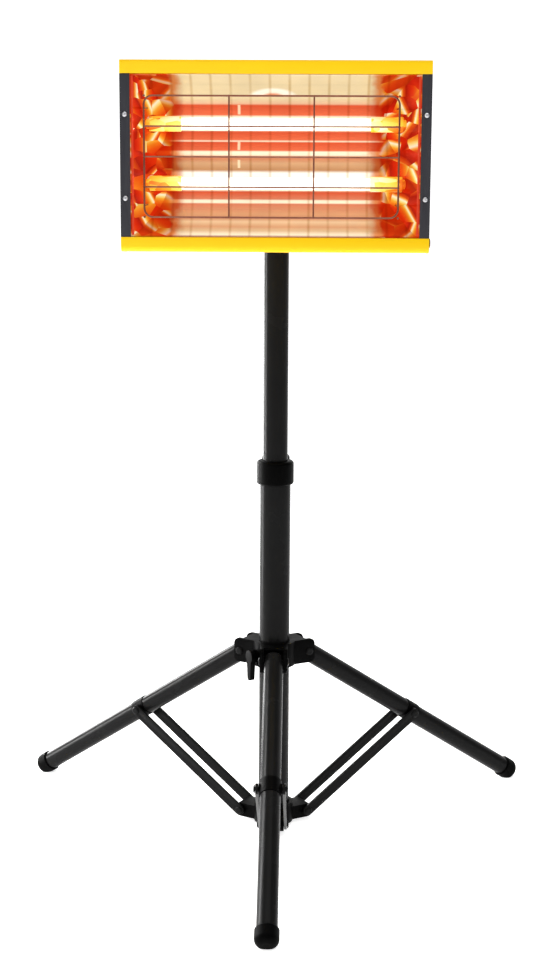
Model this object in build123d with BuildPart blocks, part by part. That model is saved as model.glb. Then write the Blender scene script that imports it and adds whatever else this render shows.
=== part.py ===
from build123d import *
import os
from math import acos, cos, radians, sin, sqrt

# Free-standing infrared heater: a wide reflector head with two lamps, tilting in a yoke
# on a telescopic mast, which stands on a folding tripod.  Millimetres, +Z up, the face
# of the head looks along -Y.  The origin is on the floor under the middle of the part.

# ---- tripod linkage: every leg and its brace form a triangle of equal links
link = 176.7                 # pin to pin along a brace, and along each half of a leg
leg_slope = 33.4             # leg below the horizontal when the tripod stands open
pivot_radius = 38.0          # hub pins and collar pins, from the mast axis
foot_height = 12.0           # foot centres and collar pins above the floor
leg_azimuths = {"front": -90.0, "right": 30.0, "left": 150.0}

# ---- tubes
lower_radius = 17.5
lower_wall = 2.0
upper_radius = 14.0
upper_wall = 1.5
leg_radius = 11.0
leg_wall = 1.2

# ---- heights along the mast
lower_tube_bottom = 6.0
collar_height = 418.5        # middle of the clamp collar
collar_length = 27.0
mast_top = 689.7
mast_down = 190.0            # travel of the upper tube below its rest height
mast_up = 140.0              # travel above its rest height

# ---- head
head_width = 323.0
head_height = 197.0
head_depth = 75.0
head_front = -105.0          # face of the head, from the mast axis
head_middle = 768.8          # height of the middle of the face
shell_wall = 2.0
top_rail = 14.0
bottom_rail = 15.5
tilt_y = -42.0               # tilt axis, from the mast axis
tilt_z = 678.0

# ---- reflector and lamps
lamp_spacing = 62.0
lamp_rise = 3.0              # pair of lamps above the middle of the face
reflector_back = -50.0
focal_length = 17.0
reflector_sheet = 1.2
lamp_radius = 6.5
lamp_wall = 1.0
glass_half = 104.0
base_end = 134.0
base_radius = 8.0
filament_radius = 1.6

# ---- guard
wire_radius = 1.0            # outer frame
thin_radius = 0.85           # rows, columns and stays inside the frame
guard_width = 266.0
guard_height = 126.0
guard_offset = -4.0          # middle of the guard from the middle of the head
guard_front = -109.0
guard_corner = 9.0

# ---- clearances
slide_gap = 0.3              # round bodies that slide past each other
turn_gap = 0.06              # a pin turning in its hole
seat_gap = 0.05              # a piece seated in another of the same body
side_gap = 0.4               # flat faces of pieces that turn beside each other
past = 1.0                   # a cut runs this far beyond the surfaces it opens

# ---- sizes worked out from the above
slope = radians(leg_slope)
hub_height = foot_height + 2 * link * sin(slope)
pin_radius = 2.5
foot_wall = 1.8
foot_radius = leg_radius + foot_wall
foot_fillet = 8.0
foot_front = 13.0            # rubber foot, beyond the foot centre
foot_back = 6.0              # and behind it, up the leg
leg_length = 2 * link
head_top = head_middle + head_height / 2
head_bottom = head_middle - head_height / 2
opening_top = head_top - top_rail
opening_bottom = head_bottom + bottom_rail
head_back = head_front + head_depth
lamp_heights = [head_middle + lamp_rise + s * lamp_spacing / 2 for s in (1, -1)]
lamp_y = reflector_back - focal_length
collar_bottom = collar_height - collar_length / 2
collar_top = collar_height + collar_length / 2
collar_seat = 11.0           # length of the lower tube inside the collar
lower_tube_top = collar_bottom + collar_seat
plug_depth = 12.0
glide_flange = 12.0
stop_room = 5.0              # left between the glide and the pieces that stop it
upper_bottom = lower_tube_bottom + plug_depth + mast_down + glide_flange + stop_room
guide_length = lower_tube_top - upper_bottom - mast_up - stop_room

os.makedirs("parts", exist_ok=True)


def foot_reach(azimuth, along):
    """Furthest point of a foot along one horizontal direction, from the mast axis."""
    a, d = radians(azimuth), radians(along)
    axis = (cos(a) * cos(slope), sin(a) * cos(slope), -sin(slope))
    way = (cos(d), sin(d), 0.0)
    lean = sum(p * q for p, q in zip(axis, way))
    centre = pivot_radius * cos(a - d) + (leg_length + foot_front - foot_fillet) * lean
    return centre + (foot_radius - foot_fillet) * sqrt(1 - lean * lean) + foot_fillet


# the mast stands behind the origin, because the front foot reaches further than the rear two
mast_y = (foot_reach(-90.0, -90.0) - foot_reach(30.0, 90.0)) / 2


def level(z):
    """Horizontal plane centred on the mast, drawn in X and Y."""
    return Plane(origin=(0, mast_y, z))


def section(x):
    """Upright plane across the head, drawn in Y (from the mast) and Z."""
    return Plane(origin=(x, mast_y, 0), x_dir=(0, 1, 0), z_dir=(1, 0, 0))


def face(y):
    """Upright plane parallel to the face of the head, drawn in X and Z, facing forwards."""
    return Plane(origin=(0, mast_y + y, 0), x_dir=(1, 0, 0), z_dir=(0, -1, 0))


def outward(azimuth, rise=0.0):
    """Unit direction away from the mast, raised by an angle in radians."""
    a = radians(azimuth)
    return Vector(cos(a) * cos(rise), sin(a) * cos(rise), sin(rise))


def sideways(azimuth):
    """Unit direction along a hinge pin of the leg at this azimuth."""
    return Vector(-sin(radians(azimuth)), cos(radians(azimuth)), 0)


def radial_plane(azimuth, z):
    """Upright plane through the mast axis, drawn in distance from the axis and height."""
    return Plane(origin=(0, mast_y, z), x_dir=outward(azimuth), z_dir=-sideways(azimuth))


def hub_pin(azimuth):
    return Vector(0, mast_y, hub_height) + outward(azimuth) * pivot_radius


def collar_pin(azimuth):
    return Vector(0, mast_y, foot_height) + outward(azimuth) * pivot_radius


def save(part, label):
    part.label = label
    export_step(part, f"parts/{label}.step")


head_flat = 0.6              # flat end of a pin's head, as a share of the head's radius
head_bulge = (0.7, 0.86)     # point on its rounded side, as shares of its height and radius


def make_pin(centre, direction, radius, half, head_radius, head):
    """A level pin with a low rounded head at both ends, in local length and radius."""
    flat = head_radius * head_flat
    bulge_x = half + head * head_bulge[0]
    bulge_y = head_radius * head_bulge[1]
    with BuildPart() as pin:
        with BuildSketch(Plane(origin=centre, x_dir=direction,
                               z_dir=direction.cross(Vector(0, 0, 1)))):
            with BuildLine():
                Polyline((-half - head, flat), (-half - head, 0), (half + head, 0),
                         (half + head, flat))
                ThreePointArc((half + head, flat), (bulge_x, bulge_y), (half, head_radius))
                Polyline((half, head_radius), (half, radius), (-half, radius), (-half, head_radius))
                ThreePointArc((-half, head_radius), (-bulge_x, bulge_y), (-half - head, flat))
            make_face()
        revolve(axis=Axis(centre, direction))
    return pin.part


# ==== mast, lower part =====================================================

with BuildPart() as lower_tube:
    with BuildSketch(level(lower_tube_bottom)):
        Circle(lower_radius)
        Circle(lower_radius - lower_wall, mode=Mode.SUBTRACT)
    extrude(amount=lower_tube_top - lower_tube_bottom)
save(lower_tube.part, "lower_tube")

plug_rim = 3.0
plug_edge = 1.5
with BuildPart() as column_plug:
    with BuildSketch(level(lower_tube_bottom - plug_rim)):
        Circle(lower_radius)
    extrude(amount=plug_rim - seat_gap)
    fillet(column_plug.edges().sort_by(Axis.Z)[0], plug_edge)
    with BuildSketch(level(lower_tube_bottom - seat_gap)):
        Circle(lower_radius - lower_wall - seat_gap)
    extrude(amount=plug_depth)
save(column_plug.part, "column_plug")

with BuildPart() as guide_bush:
    with BuildSketch(level(lower_tube_top - guide_length)):
        Circle(lower_radius - lower_wall - seat_gap)
        Circle(upper_radius + slide_gap, mode=Mode.SUBTRACT)
    extrude(amount=guide_length)
save(guide_bush.part, "guide_bush")

# clamp collar: sits on the top of the lower tube and is screwed down on the upper one
collar_radius = 21.0
knob_height = (lower_tube_top + collar_top) / 2
clamp_boss_radius = 8.0
clamp_boss_end = 27.0
clamp_screw_radius = 3.0
collar_top_round = 4.0
collar_low_round = 2.4
with BuildPart() as clamp_collar:
    with BuildSketch(level(collar_bottom)):
        Circle(collar_radius)
    extrude(amount=collar_length)
    fillet(clamp_collar.edges().sort_by(Axis.Z)[-1], collar_top_round)
    fillet(clamp_collar.edges().sort_by(Axis.Z)[0], collar_low_round)
    with BuildSketch(face(0)):
        with Locations((0, knob_height)):
            Circle(clamp_boss_radius)
    extrude(amount=-clamp_boss_end)
    with BuildSketch(level(collar_bottom)):
        Circle(lower_radius + seat_gap)
    extrude(amount=lower_tube_top - collar_bottom + seat_gap, mode=Mode.SUBTRACT)
    with BuildSketch(level(collar_bottom)):
        Circle(upper_radius + slide_gap)
    extrude(amount=collar_length, mode=Mode.SUBTRACT)
    with BuildSketch(face(0)):
        with Locations((0, knob_height)):
            Circle(clamp_screw_radius + turn_gap)
    extrude(amount=-clamp_boss_end, mode=Mode.SUBTRACT)
save(clamp_collar.part, "clamp_collar")


def make_knob(origin, direction, lobe_circle, lobes, lobe_radius, bore, length):
    """A lobed hand knob round a screw, with its back at the origin."""
    up = Vector(0, 0, 1)
    with BuildPart() as knob:
        with BuildSketch(Plane(origin=origin, x_dir=up, z_dir=direction)):
            Circle(lobe_circle)
            with PolarLocations(lobe_circle, lobes):
                Circle(lobe_radius)
            Circle(bore, mode=Mode.SUBTRACT)
        extrude(amount=length)
    return knob.part


screw_edge = 0.5


def make_screw(start, direction, radius, length):
    with BuildPart() as screw:
        with BuildSketch(Plane(origin=start, z_dir=direction)):
            Circle(radius)
        extrude(amount=length)
        chamfer(screw.edges().filter_by(GeomType.CIRCLE), screw_edge)
    return screw.part


back = Vector(0, 1, 0)
knob_gap = 1.0               # a hand knob stands this far off its boss
screw_nose_gap = 0.2         # a locking screw stops this far short of its tube
clamp_knob = make_knob((0, mast_y + clamp_boss_end + knob_gap, knob_height), back,
                       lobe_circle=12.0, lobes=5, lobe_radius=4.5,
                       bore=clamp_screw_radius + seat_gap, length=15.0)
save(clamp_knob, "clamp_knob")
clamp_screw_start = upper_radius + slide_gap + screw_nose_gap
clamp_screw = make_screw((0, mast_y + clamp_screw_start, knob_height), back,
                         clamp_screw_radius, length=28.0)
save(clamp_screw, "clamp_screw")

# ==== lower collar of the tripod ===========================================

ear_half = foot_radius                # half the width of an ear, along its pin
bar_thickness = 3.0
bar_width = 12.0
bar_inner = ear_half + side_gap       # inner face of a brace bar, from the leg's middle plane
sleeve_lift = 0.5                     # bottom of the collar above the mast's foot plug
sleeve_edge = 1.0
collar_low = lower_tube_bottom - plug_rim + sleeve_lift
collar_high = 27.0
ear_radius = 8.0
collar_sleeve_radius = 22.5
with BuildPart() as lower_collar:
    with BuildSketch(level(collar_low)):
        Circle(collar_sleeve_radius)
    extrude(amount=collar_high - collar_low)
    for azimuth in leg_azimuths.values():
        with BuildSketch(radial_plane(azimuth, foot_height).offset(-ear_half)):
            with Locations((pivot_radius / 2, 0)):
                Rectangle(pivot_radius, 2 * ear_radius)
            with Locations((pivot_radius, 0)):
                Circle(ear_radius)
                Circle(pin_radius + seat_gap, mode=Mode.SUBTRACT)
        extrude(amount=2 * ear_half)
    with BuildSketch(level(0)):
        Circle(lower_radius + seat_gap)
    extrude(amount=collar_high, mode=Mode.SUBTRACT)
    chamfer(lower_collar.edges().filter_by(GeomType.CIRCLE).sort_by(Axis.Z)[-1], sleeve_edge)
save(lower_collar.part, "lower_collar")

# one pin for each ear; the brace bars turn on its ends
bar_outer = bar_inner + bar_thickness
pin_half = bar_outer + side_gap
pin_head_radius = 4.6
pin_head = 1.8
collar_pins = [make_pin(collar_pin(a), sideways(a), pin_radius, pin_half, pin_head_radius, pin_head)
               for a in leg_azimuths.values()]
save(Compound(children=collar_pins), "lower_collar_pins")

# ==== braces, legs and feet ================================================

bar_hole = pin_radius + turn_gap
open_hole = pin_radius + slide_gap    # the end that meets the leg, where the loop is open
tube_start = -4.0                     # ends of a leg's tube, from its hub pin and foot centre
tube_past_foot = 2.0
tube_end = leg_length + tube_past_foot
clip_half = 9.0
clip_wall = 0.9
clip_boss_radius = 6.0
plug_stem = 14.0
foot_lip = 0.8
foot_lip_drop = 0.6
for name, azimuth in leg_azimuths.items():
    pin_way = sideways(azimuth)
    leg_way = outward(azimuth, -slope)
    brace_way = outward(azimuth, slope)
    top = hub_pin(azimuth)
    joint = top + leg_way * link

    with BuildPart() as brace:
        for start in (bar_inner, -bar_outer):
            bar_plane = Plane(origin=collar_pin(azimuth), x_dir=brace_way, z_dir=pin_way)
            with BuildSketch(bar_plane.offset(start)):
                with Locations((link / 2, 0)):
                    SlotCenterToCenter(link, bar_width)
                Circle(bar_hole, mode=Mode.SUBTRACT)
                with Locations((link, 0)):
                    Circle(open_hole, mode=Mode.SUBTRACT)
            extrude(amount=bar_thickness)
    save(brace.part, f"brace_{name}")

    along = Plane(origin=top, z_dir=leg_way, x_dir=pin_way)
    across = Plane(origin=top, x_dir=leg_way, z_dir=pin_way)

    with BuildPart() as leg:
        with BuildSketch(along.offset(tube_start)):
            Circle(leg_radius)
            Circle(leg_radius - leg_wall, mode=Mode.SUBTRACT)
        extrude(amount=tube_end - tube_start)
        with BuildSketch(across):
            Circle(pin_radius + turn_gap)
            with Locations((link, 0)):
                Circle(pin_radius + seat_gap)
        extrude(amount=leg_radius + past, both=True, mode=Mode.SUBTRACT)
    save(leg.part, f"leg_{name}")

    # rounded plug in the upper end of the leg
    stem_radius = leg_radius - leg_wall - seat_gap
    nose_start = tube_start - seat_gap
    nose_edge = sqrt(leg_radius**2 - nose_start**2)
    nose_turn = acos(-nose_start / leg_radius) / 2
    with BuildPart() as plug:
        with BuildSketch(across):
            with BuildLine():
                Polyline((-leg_radius, 0), (plug_stem, 0), (plug_stem, stem_radius),
                         (nose_start, stem_radius), (nose_start, nose_edge))
                ThreePointArc((nose_start, nose_edge),
                              (-leg_radius * cos(nose_turn), leg_radius * sin(nose_turn)),
                              (-leg_radius, 0))
            make_face()
        revolve(axis=Axis(top, leg_way))
        with BuildSketch(across):
            Circle(pin_radius + turn_gap)
        extrude(amount=leg_radius + past, both=True, mode=Mode.SUBTRACT)
    save(plug.part, f"leg_plug_{name}")

    # rubber foot pulled over the lower end, worn flat where it meets the floor
    foot_start = leg_length - foot_back
    foot_end = leg_length + foot_front
    bore = leg_radius + seat_gap
    with BuildPart() as foot:
        with BuildSketch(across):
            with BuildLine():
                Polyline((foot_end, 0), (tube_end + seat_gap, 0), (tube_end + seat_gap, bore),
                         (foot_start, bore), (foot_start, foot_radius - foot_lip_drop),
                         (foot_start + foot_lip, foot_radius),
                         (foot_end - foot_fillet, foot_radius))
                RadiusArc((foot_end - foot_fillet, foot_radius),
                          (foot_end, foot_radius - foot_fillet), foot_fillet)
                Line((foot_end, foot_radius - foot_fillet), (foot_end, 0))
            make_face()
        revolve(axis=Axis(top, leg_way))
        with BuildSketch(level(0)):
            Rectangle(3 * leg_length, 3 * leg_length)
        extrude(amount=-2 * foot_radius, mode=Mode.SUBTRACT)
    save(foot.part, f"foot_{name}")

    # clip round the leg that carries the brace, with a flat boss each side
    with BuildPart() as clip:
        with BuildSketch(along.offset(link - clip_half)):
            Circle(leg_radius + clip_wall)
        extrude(amount=2 * clip_half)
        with BuildSketch(across.offset(-ear_half)):
            with Locations((link, 0)):
                Circle(clip_boss_radius)
        extrude(amount=2 * ear_half)
        with BuildSketch(along.offset(link - clip_half)):
            Circle(leg_radius + seat_gap)
        extrude(amount=2 * clip_half, mode=Mode.SUBTRACT)
        with BuildSketch(across):
            with Locations((link, 0)):
                Circle(pin_radius + seat_gap)
        extrude(amount=ear_half + past, both=True, mode=Mode.SUBTRACT)
    save(clip.part, f"leg_clip_{name}")

    leg_pin = make_pin(joint, pin_way, pin_radius, pin_half, pin_head_radius, pin_head)
    save(leg_pin, f"leg_pin_{name}")

# ==== hub ==================================================================

hub_radius = 24.0
hub_low = -13.0              # from the height of the hub pins
web_start = leg_radius + 3 * side_gap
web_thickness = 2.8
hub_high = web_start + web_thickness
cheek_inner = leg_radius + side_gap
cheek_thickness = 4.2
cheek_outer = cheek_inner + cheek_thickness
arm_nose = 7.0               # an arm goes this far past its pin
arm_end = pivot_radius + arm_nose
arm_corner = 6.0
web_gap = 3.0                # the web over a leg stops this far short of the pin
web_end = pivot_radius - web_gap
lever_azimuth = 210.0
lever_drop = -1.0            # lever axis from the height of the hub pins
lever_boss_radius = 7.5
lever_boss_end = 25.5
lever_screw_radius = 2.5
lever_plane = Plane(origin=(0, mast_y, hub_height + lever_drop), z_dir=outward(lever_azimuth),
                    x_dir=sideways(lever_azimuth))
with BuildPart() as hub:
    with BuildSketch(level(hub_height + hub_low)):
        Circle(hub_radius)
    extrude(amount=hub_high - hub_low)
    for azimuth in leg_azimuths.values():
        arm_plane = radial_plane(azimuth, hub_height)
        with BuildSketch(arm_plane.offset(-cheek_outer)) as arm_profile:
            with Locations((arm_end / 2, (hub_high + hub_low) / 2)):
                Rectangle(arm_end, hub_high - hub_low)
            fillet(arm_profile.vertices().group_by(Axis.X)[-1], arm_corner)
        extrude(amount=2 * cheek_outer)
    for azimuth in leg_azimuths.values():
        arm_plane = radial_plane(azimuth, hub_height)
        with BuildSketch(arm_plane.offset(-cheek_inner)):
            with Locations((hub_radius + arm_end / 2, (web_start + hub_low) / 2)):
                Rectangle(arm_end, web_start - hub_low)
            with Locations((web_end + arm_end / 2, 0)):
                Rectangle(arm_end, 3 * hub_high)
        extrude(amount=2 * cheek_inner, mode=Mode.SUBTRACT)
        with BuildSketch(arm_plane):
            with Locations((pivot_radius, 0)):
                Circle(pin_radius + seat_gap)
        extrude(amount=cheek_outer + past, both=True, mode=Mode.SUBTRACT)
    with BuildSketch(lever_plane):
        Circle(lever_boss_radius)
    extrude(amount=lever_boss_end)
    with BuildSketch(level(hub_height + hub_low)):
        Circle(lower_radius + slide_gap)
    extrude(amount=hub_high - hub_low, mode=Mode.SUBTRACT)
    with BuildSketch(lever_plane):
        Circle(lever_screw_radius + turn_gap)
    extrude(amount=lever_boss_end, mode=Mode.SUBTRACT)
save(hub.part, "hub")

hub_pins = [make_pin(hub_pin(a), sideways(a), pin_radius, cheek_outer, pin_head_radius, pin_head)
            for a in leg_azimuths.values()]
save(Compound(children=hub_pins), "hub_pins")

# locking lever: a round boss on the screw with a tapered finger that hangs down
lever_length = 28.0
lever_depth = 7.5
finger_root = 5.5            # half widths of the finger at its two ends
finger_tip = 3.2
finger_tip_round = 3.0
finger_offset = 1.5
finger_thickness = 6.0
lever_screw_grip = 5.0       # length of the screw held in the lever
lever_start = lever_boss_end + side_gap
with BuildPart() as hub_lever:
    with BuildSketch(lever_plane.offset(lever_start)):
        Circle(lever_boss_radius)
    extrude(amount=lever_depth)
    with BuildSketch(lever_plane.offset(lever_start + finger_offset)) as finger:
        with BuildLine():
            Polyline((-finger_root, 0), (finger_root, 0), (finger_tip, -lever_length),
                     (-finger_tip, -lever_length), close=True)
        make_face()
        fillet(finger.vertices().group_by(Axis.Y)[0], finger_tip_round)
    extrude(amount=finger_thickness)
    with BuildSketch(lever_plane.offset(lever_boss_end)):
        Circle(lever_screw_radius + seat_gap)
    extrude(amount=lever_screw_grip + side_gap, mode=Mode.SUBTRACT)
save(hub_lever.part, "hub_lever")
lever_screw_start = lower_radius + slide_gap + screw_nose_gap
hub_lever_screw = make_screw(lever_plane.origin + outward(lever_azimuth) * lever_screw_start,
                             outward(lever_azimuth), lever_screw_radius,
                             lever_boss_end + lever_screw_grip - lever_screw_start)
save(hub_lever_screw, "hub_lever_screw")

# ==== mast, upper part =====================================================

glide_stem = 20.0
with BuildPart() as upper_tube:
    with BuildSketch(level(upper_bottom)):
        Circle(upper_radius)
        Circle(upper_radius - upper_wall, mode=Mode.SUBTRACT)
    extrude(amount=mast_top - upper_bottom)
save(upper_tube.part, "upper_tube")

with BuildPart() as mast_glide:
    with BuildSketch(level(upper_bottom - glide_flange)):
        Circle(lower_radius - lower_wall - slide_gap)
    extrude(amount=glide_flange - seat_gap)
    with BuildSketch(level(upper_bottom - seat_gap)):
        Circle(upper_radius - upper_wall - seat_gap)
    extrude(amount=glide_stem)
save(mast_glide.part, "mast_glide")

# adapter: a cap that turns on the mast top and carries the yoke
adapter_radius = 18.0
adapter_low = 668.0
adapter_high = 695.0
adapter_lock = 682.0         # height of the locking screw
adapter_pad = 16.0           # half width of the flat pad behind the yoke
adapter_pad_height = 22.0
adapter_boss_radius = 6.0
adapter_boss_end = 22.0
adapter_edge = 1.5
yoke_back = -18.0            # pad face, which is also the back of the yoke
yoke_thickness = 2.4
yoke_screw_x = 9.0
yoke_screw_radius = 2.5
yoke_screw_grip = 5.0        # depth of its screws in the adapter
yoke_tip_gap = 1.0           # their holes are this much deeper
countersink = 40             # slope of a countersunk head, in degrees
with BuildPart() as mast_adapter:
    with BuildSketch(level(adapter_low)):
        Circle(adapter_radius)
    extrude(amount=adapter_high - adapter_low)
    with BuildSketch(level(adapter_low)):
        with Locations((0, yoke_back / 2)):
            Rectangle(2 * adapter_pad, -yoke_back)
    extrude(amount=adapter_pad_height)
    with BuildSketch(face(0)):
        with Locations((0, adapter_lock)):
            Circle(adapter_boss_radius)
    extrude(amount=-adapter_boss_end)
    chamfer(mast_adapter.edges().filter_by(GeomType.CIRCLE).sort_by(Axis.Z)[-1], adapter_edge)
    with BuildSketch(level(adapter_low)):
        Circle(upper_radius + turn_gap)
    extrude(amount=mast_top + side_gap - adapter_low, mode=Mode.SUBTRACT)
    with BuildSketch(face(0)):
        with Locations((0, adapter_lock)):
            Circle(lever_screw_radius + turn_gap)
    extrude(amount=-adapter_boss_end, mode=Mode.SUBTRACT)
    with BuildSketch(face(yoke_back)):
        with Locations((-yoke_screw_x, tilt_z), (yoke_screw_x, tilt_z)):
            Circle(yoke_screw_radius + seat_gap)
    extrude(amount=-yoke_screw_grip - yoke_tip_gap, mode=Mode.SUBTRACT)
save(mast_adapter.part, "mast_adapter")

swivel_knob = make_knob((0, mast_y + adapter_boss_end + knob_gap, adapter_lock), back,
                        lobe_circle=7.5, lobes=3, lobe_radius=3.6,
                        bore=lever_screw_radius + seat_gap, length=11.0)
save(swivel_knob, "swivel_knob")
swivel_screw = make_screw((0, mast_y + upper_radius + turn_gap + screw_nose_gap, adapter_lock),
                          back, lever_screw_radius, length=19.0)
save(swivel_screw, "swivel_screw")

# ==== yoke =================================================================

washer_thickness = 0.6
washer_radius = 6.5
arm_inner = head_width / 2 + washer_thickness + 2 * seat_gap
arm_outer = arm_inner + yoke_thickness
yoke_height = 22.0
yoke_tip = tilt_y - yoke_height / 2
yoke_front = yoke_back - yoke_thickness
tip_flat = 2.0               # straight part of a yoke arm's rounded end
bend_radius = 7.0
tilt_bolt_radius = 3.0
with BuildPart() as yoke:
    with BuildSketch(level(tilt_z - yoke_height / 2)) as strip:
        with Locations((0, (yoke_tip + yoke_back) / 2)):
            Rectangle(2 * arm_outer, yoke_back - yoke_tip)
        fillet(strip.vertices().group_by(Axis.Y)[-1], bend_radius)
        with BuildSketch(mode=Mode.SUBTRACT) as hollow:
            with Locations((0, yoke_tip + yoke_front / 2 - yoke_tip / 2)):
                Rectangle(2 * arm_inner, yoke_front - yoke_tip)
            fillet(hollow.vertices().group_by(Axis.Y)[-1], bend_radius - yoke_thickness)
    extrude(amount=yoke_height)
    tips = yoke.edges().filter_by(Axis.X).group_by(Axis.Y)[0]
    fillet(tips, (yoke_height - tip_flat) / 2)
    with BuildSketch(section(0)):
        with Locations((tilt_y, tilt_z)):
            Circle(tilt_bolt_radius + turn_gap)
    extrude(amount=arm_outer + past, both=True, mode=Mode.SUBTRACT)
    with BuildSketch(face(yoke_back)):
        with Locations((-yoke_screw_x, tilt_z), (yoke_screw_x, tilt_z)):
            Circle(yoke_screw_radius + seat_gap)
    extrude(amount=yoke_thickness, mode=Mode.SUBTRACT)
    with BuildSketch(face(yoke_front)):
        with Locations((-yoke_screw_x, tilt_z), (yoke_screw_x, tilt_z)):
            Circle(2 * yoke_screw_radius)
    extrude(amount=-yoke_thickness / 2, taper=countersink, mode=Mode.SUBTRACT)
save(yoke.part, "yoke")

with BuildPart() as yoke_screws:
    with BuildSketch(face(yoke_back - yoke_thickness / 2)):
        with Locations((-yoke_screw_x, tilt_z), (yoke_screw_x, tilt_z)):
            Circle(yoke_screw_radius)
    extrude(amount=-(yoke_screw_grip + yoke_thickness / 2))
    with BuildSketch(face(yoke_front)):
        with Locations((-yoke_screw_x, tilt_z), (yoke_screw_x, tilt_z)):
            Circle(2 * yoke_screw_radius - 2 * seat_gap)
    extrude(amount=-yoke_thickness / 2, taper=countersink)
save(yoke_screws.part, "yoke_screws")

# ==== head: shell and end caps =============================================

back_chamfer = 28.0
crest_round = 10.0           # between the slope at the back and the top
front_round = 3.0            # between the top and the face
rear_round = 7.0
return_depth = 6.0           # strips folded back round the opening
return_wall = 1.6
face_cut = 2 * (shell_wall + past)
cable_slot = (24.0, 12.0)
slot_round = 3.0


def shell_outline(inset):
    """Profile of the head in Y and Z, moved inwards by an inset."""
    with BuildSketch() as outline:
        with BuildLine():
            Polyline((head_front, head_bottom), (head_back, head_bottom),
                     (head_back, head_top - back_chamfer), (head_back - back_chamfer, head_top),
                     (head_front, head_top), close=True)
        make_face()
        fillet(outline.vertices().group_by(Axis.X)[-1].sort_by(Axis.Y)[-1:], crest_round)
        fillet(outline.vertices().group_by(Axis.Y)[0], rear_round)
        fillet(outline.vertices().group_by(Axis.Y)[-1].sort_by(Axis.X)[:1], front_round)
        if inset:
            offset(amount=-inset, mode=Mode.REPLACE)
    return outline.sketch


with BuildPart() as housing_shell:
    with BuildSketch(section(-head_width / 2)):
        add(shell_outline(0))
        add(shell_outline(shell_wall), mode=Mode.SUBTRACT)
        with Locations((head_front, (opening_top + opening_bottom) / 2)):
            Rectangle(face_cut, opening_top - opening_bottom, mode=Mode.SUBTRACT)
        with Locations((head_front + return_depth / 2, opening_top + return_wall / 2),
                       (head_front + return_depth / 2, opening_bottom - return_wall / 2)):
            Rectangle(return_depth, return_wall)
    extrude(amount=head_width)
    with BuildSketch(face(head_back)):
        with Locations((0, head_middle)):
            RectangleRounded(*cable_slot, slot_round)
    extrude(amount=shell_wall + past, mode=Mode.SUBTRACT)
save(housing_shell.part, "housing_shell")

# end caps: a side plate inside the shell and a front flange between the two rails
cap_thickness = 2.5
flange_width = 10.5
flange_thickness = 2.2
flange_recess = 0.6
flange_front = head_front + flange_recess
cap_gap = 0.15
cap_notch = 9.0              # length of its notches round the folded strips
cap_screw_radius = 1.5
cap_screw_rise = 43.0
cap_screw_grip = 2.0         # length of a screw behind the flange
cap_head_radius = 2.7
cap_head = 1.5
head_taper = 25              # slope of a screw head's side, in degrees
cap_screw_x = head_width / 2 - flange_width / 2
for name, side in (("left", -1), ("right", 1)):
    with BuildPart() as end_cap:
        start = head_width / 2 - cap_thickness if side > 0 else -head_width / 2
        with BuildSketch(section(start)):
            add(shell_outline(shell_wall + cap_gap))
            with Locations((head_front + shell_wall, opening_top + return_wall / 2),
                           (head_front + shell_wall, opening_bottom - return_wall / 2)):
                Rectangle(cap_notch, return_wall + 2 * cap_gap, mode=Mode.SUBTRACT)
            with Locations((tilt_y, tilt_z)):
                Circle(tilt_bolt_radius + seat_gap, mode=Mode.SUBTRACT)
        extrude(amount=cap_thickness)
        with BuildSketch(face(flange_front)):
            with Locations((side * cap_screw_x, (opening_top + opening_bottom) / 2)):
                Rectangle(flange_width, opening_top - opening_bottom - 2 * cap_gap)
        extrude(amount=-flange_thickness)
        with BuildSketch(face(flange_front)):
            with Locations((side * cap_screw_x, head_middle + cap_screw_rise),
                           (side * cap_screw_x, head_middle - cap_screw_rise)):
                Circle(cap_screw_radius + seat_gap)
        extrude(amount=-flange_thickness, mode=Mode.SUBTRACT)
    save(end_cap.part, f"end_cap_{name}")

with BuildPart() as end_cap_screws:
    spots = [(s * cap_screw_x, head_middle + t * cap_screw_rise) for s in (-1, 1) for t in (-1, 1)]
    with BuildSketch(face(flange_front)):
        with Locations(*spots):
            Circle(cap_screw_radius)
    extrude(amount=-flange_thickness - cap_screw_grip)
    with BuildSketch(face(flange_front)):
        with Locations(*spots):
            Circle(cap_head_radius)
    extrude(amount=cap_head, taper=head_taper)
save(end_cap_screws.part, "end_cap_screws")

# tilt bolts: round heads outside the yoke arms, shafts fixed in the end caps
tilt_head_radius = 5.2
tilt_head = 2.0
tilt_head_round = 1.5
tilt_bolt_inside = 12.0      # length of a bolt inside the head
nut_flats = 5.2              # half the width of a nut across its flats
nut_height = 5.0
bolt_head_gap = 2 * seat_gap
with BuildPart() as tilt_bolts:
    for side in (-1, 1):
        with BuildSketch(section(side * (head_width / 2 - tilt_bolt_inside))):
            with Locations((tilt_y, tilt_z)):
                Circle(tilt_bolt_radius)
        extrude(amount=side * (arm_outer - head_width / 2 + tilt_bolt_inside + bolt_head_gap))
        with BuildSketch(section(side * (arm_outer + bolt_head_gap))):
            with Locations((tilt_y, tilt_z)):
                Circle(tilt_head_radius)
        extrude(amount=side * tilt_head)
    rims = tilt_bolts.edges().filter_by(GeomType.CIRCLE)
    fillet([rims.sort_by(Axis.X)[0], rims.sort_by(Axis.X)[-1]], tilt_head_round)
save(tilt_bolts.part, "tilt_bolts")

with BuildPart() as tilt_washers:
    for side in (-1, 1):
        with BuildSketch(section(side * (head_width / 2 + seat_gap))):
            with Locations((tilt_y, tilt_z)):
                Circle(washer_radius)
                Circle(tilt_bolt_radius + seat_gap, mode=Mode.SUBTRACT)
        extrude(amount=side * (washer_thickness - seat_gap))
save(tilt_washers.part, "tilt_washers")

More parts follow.
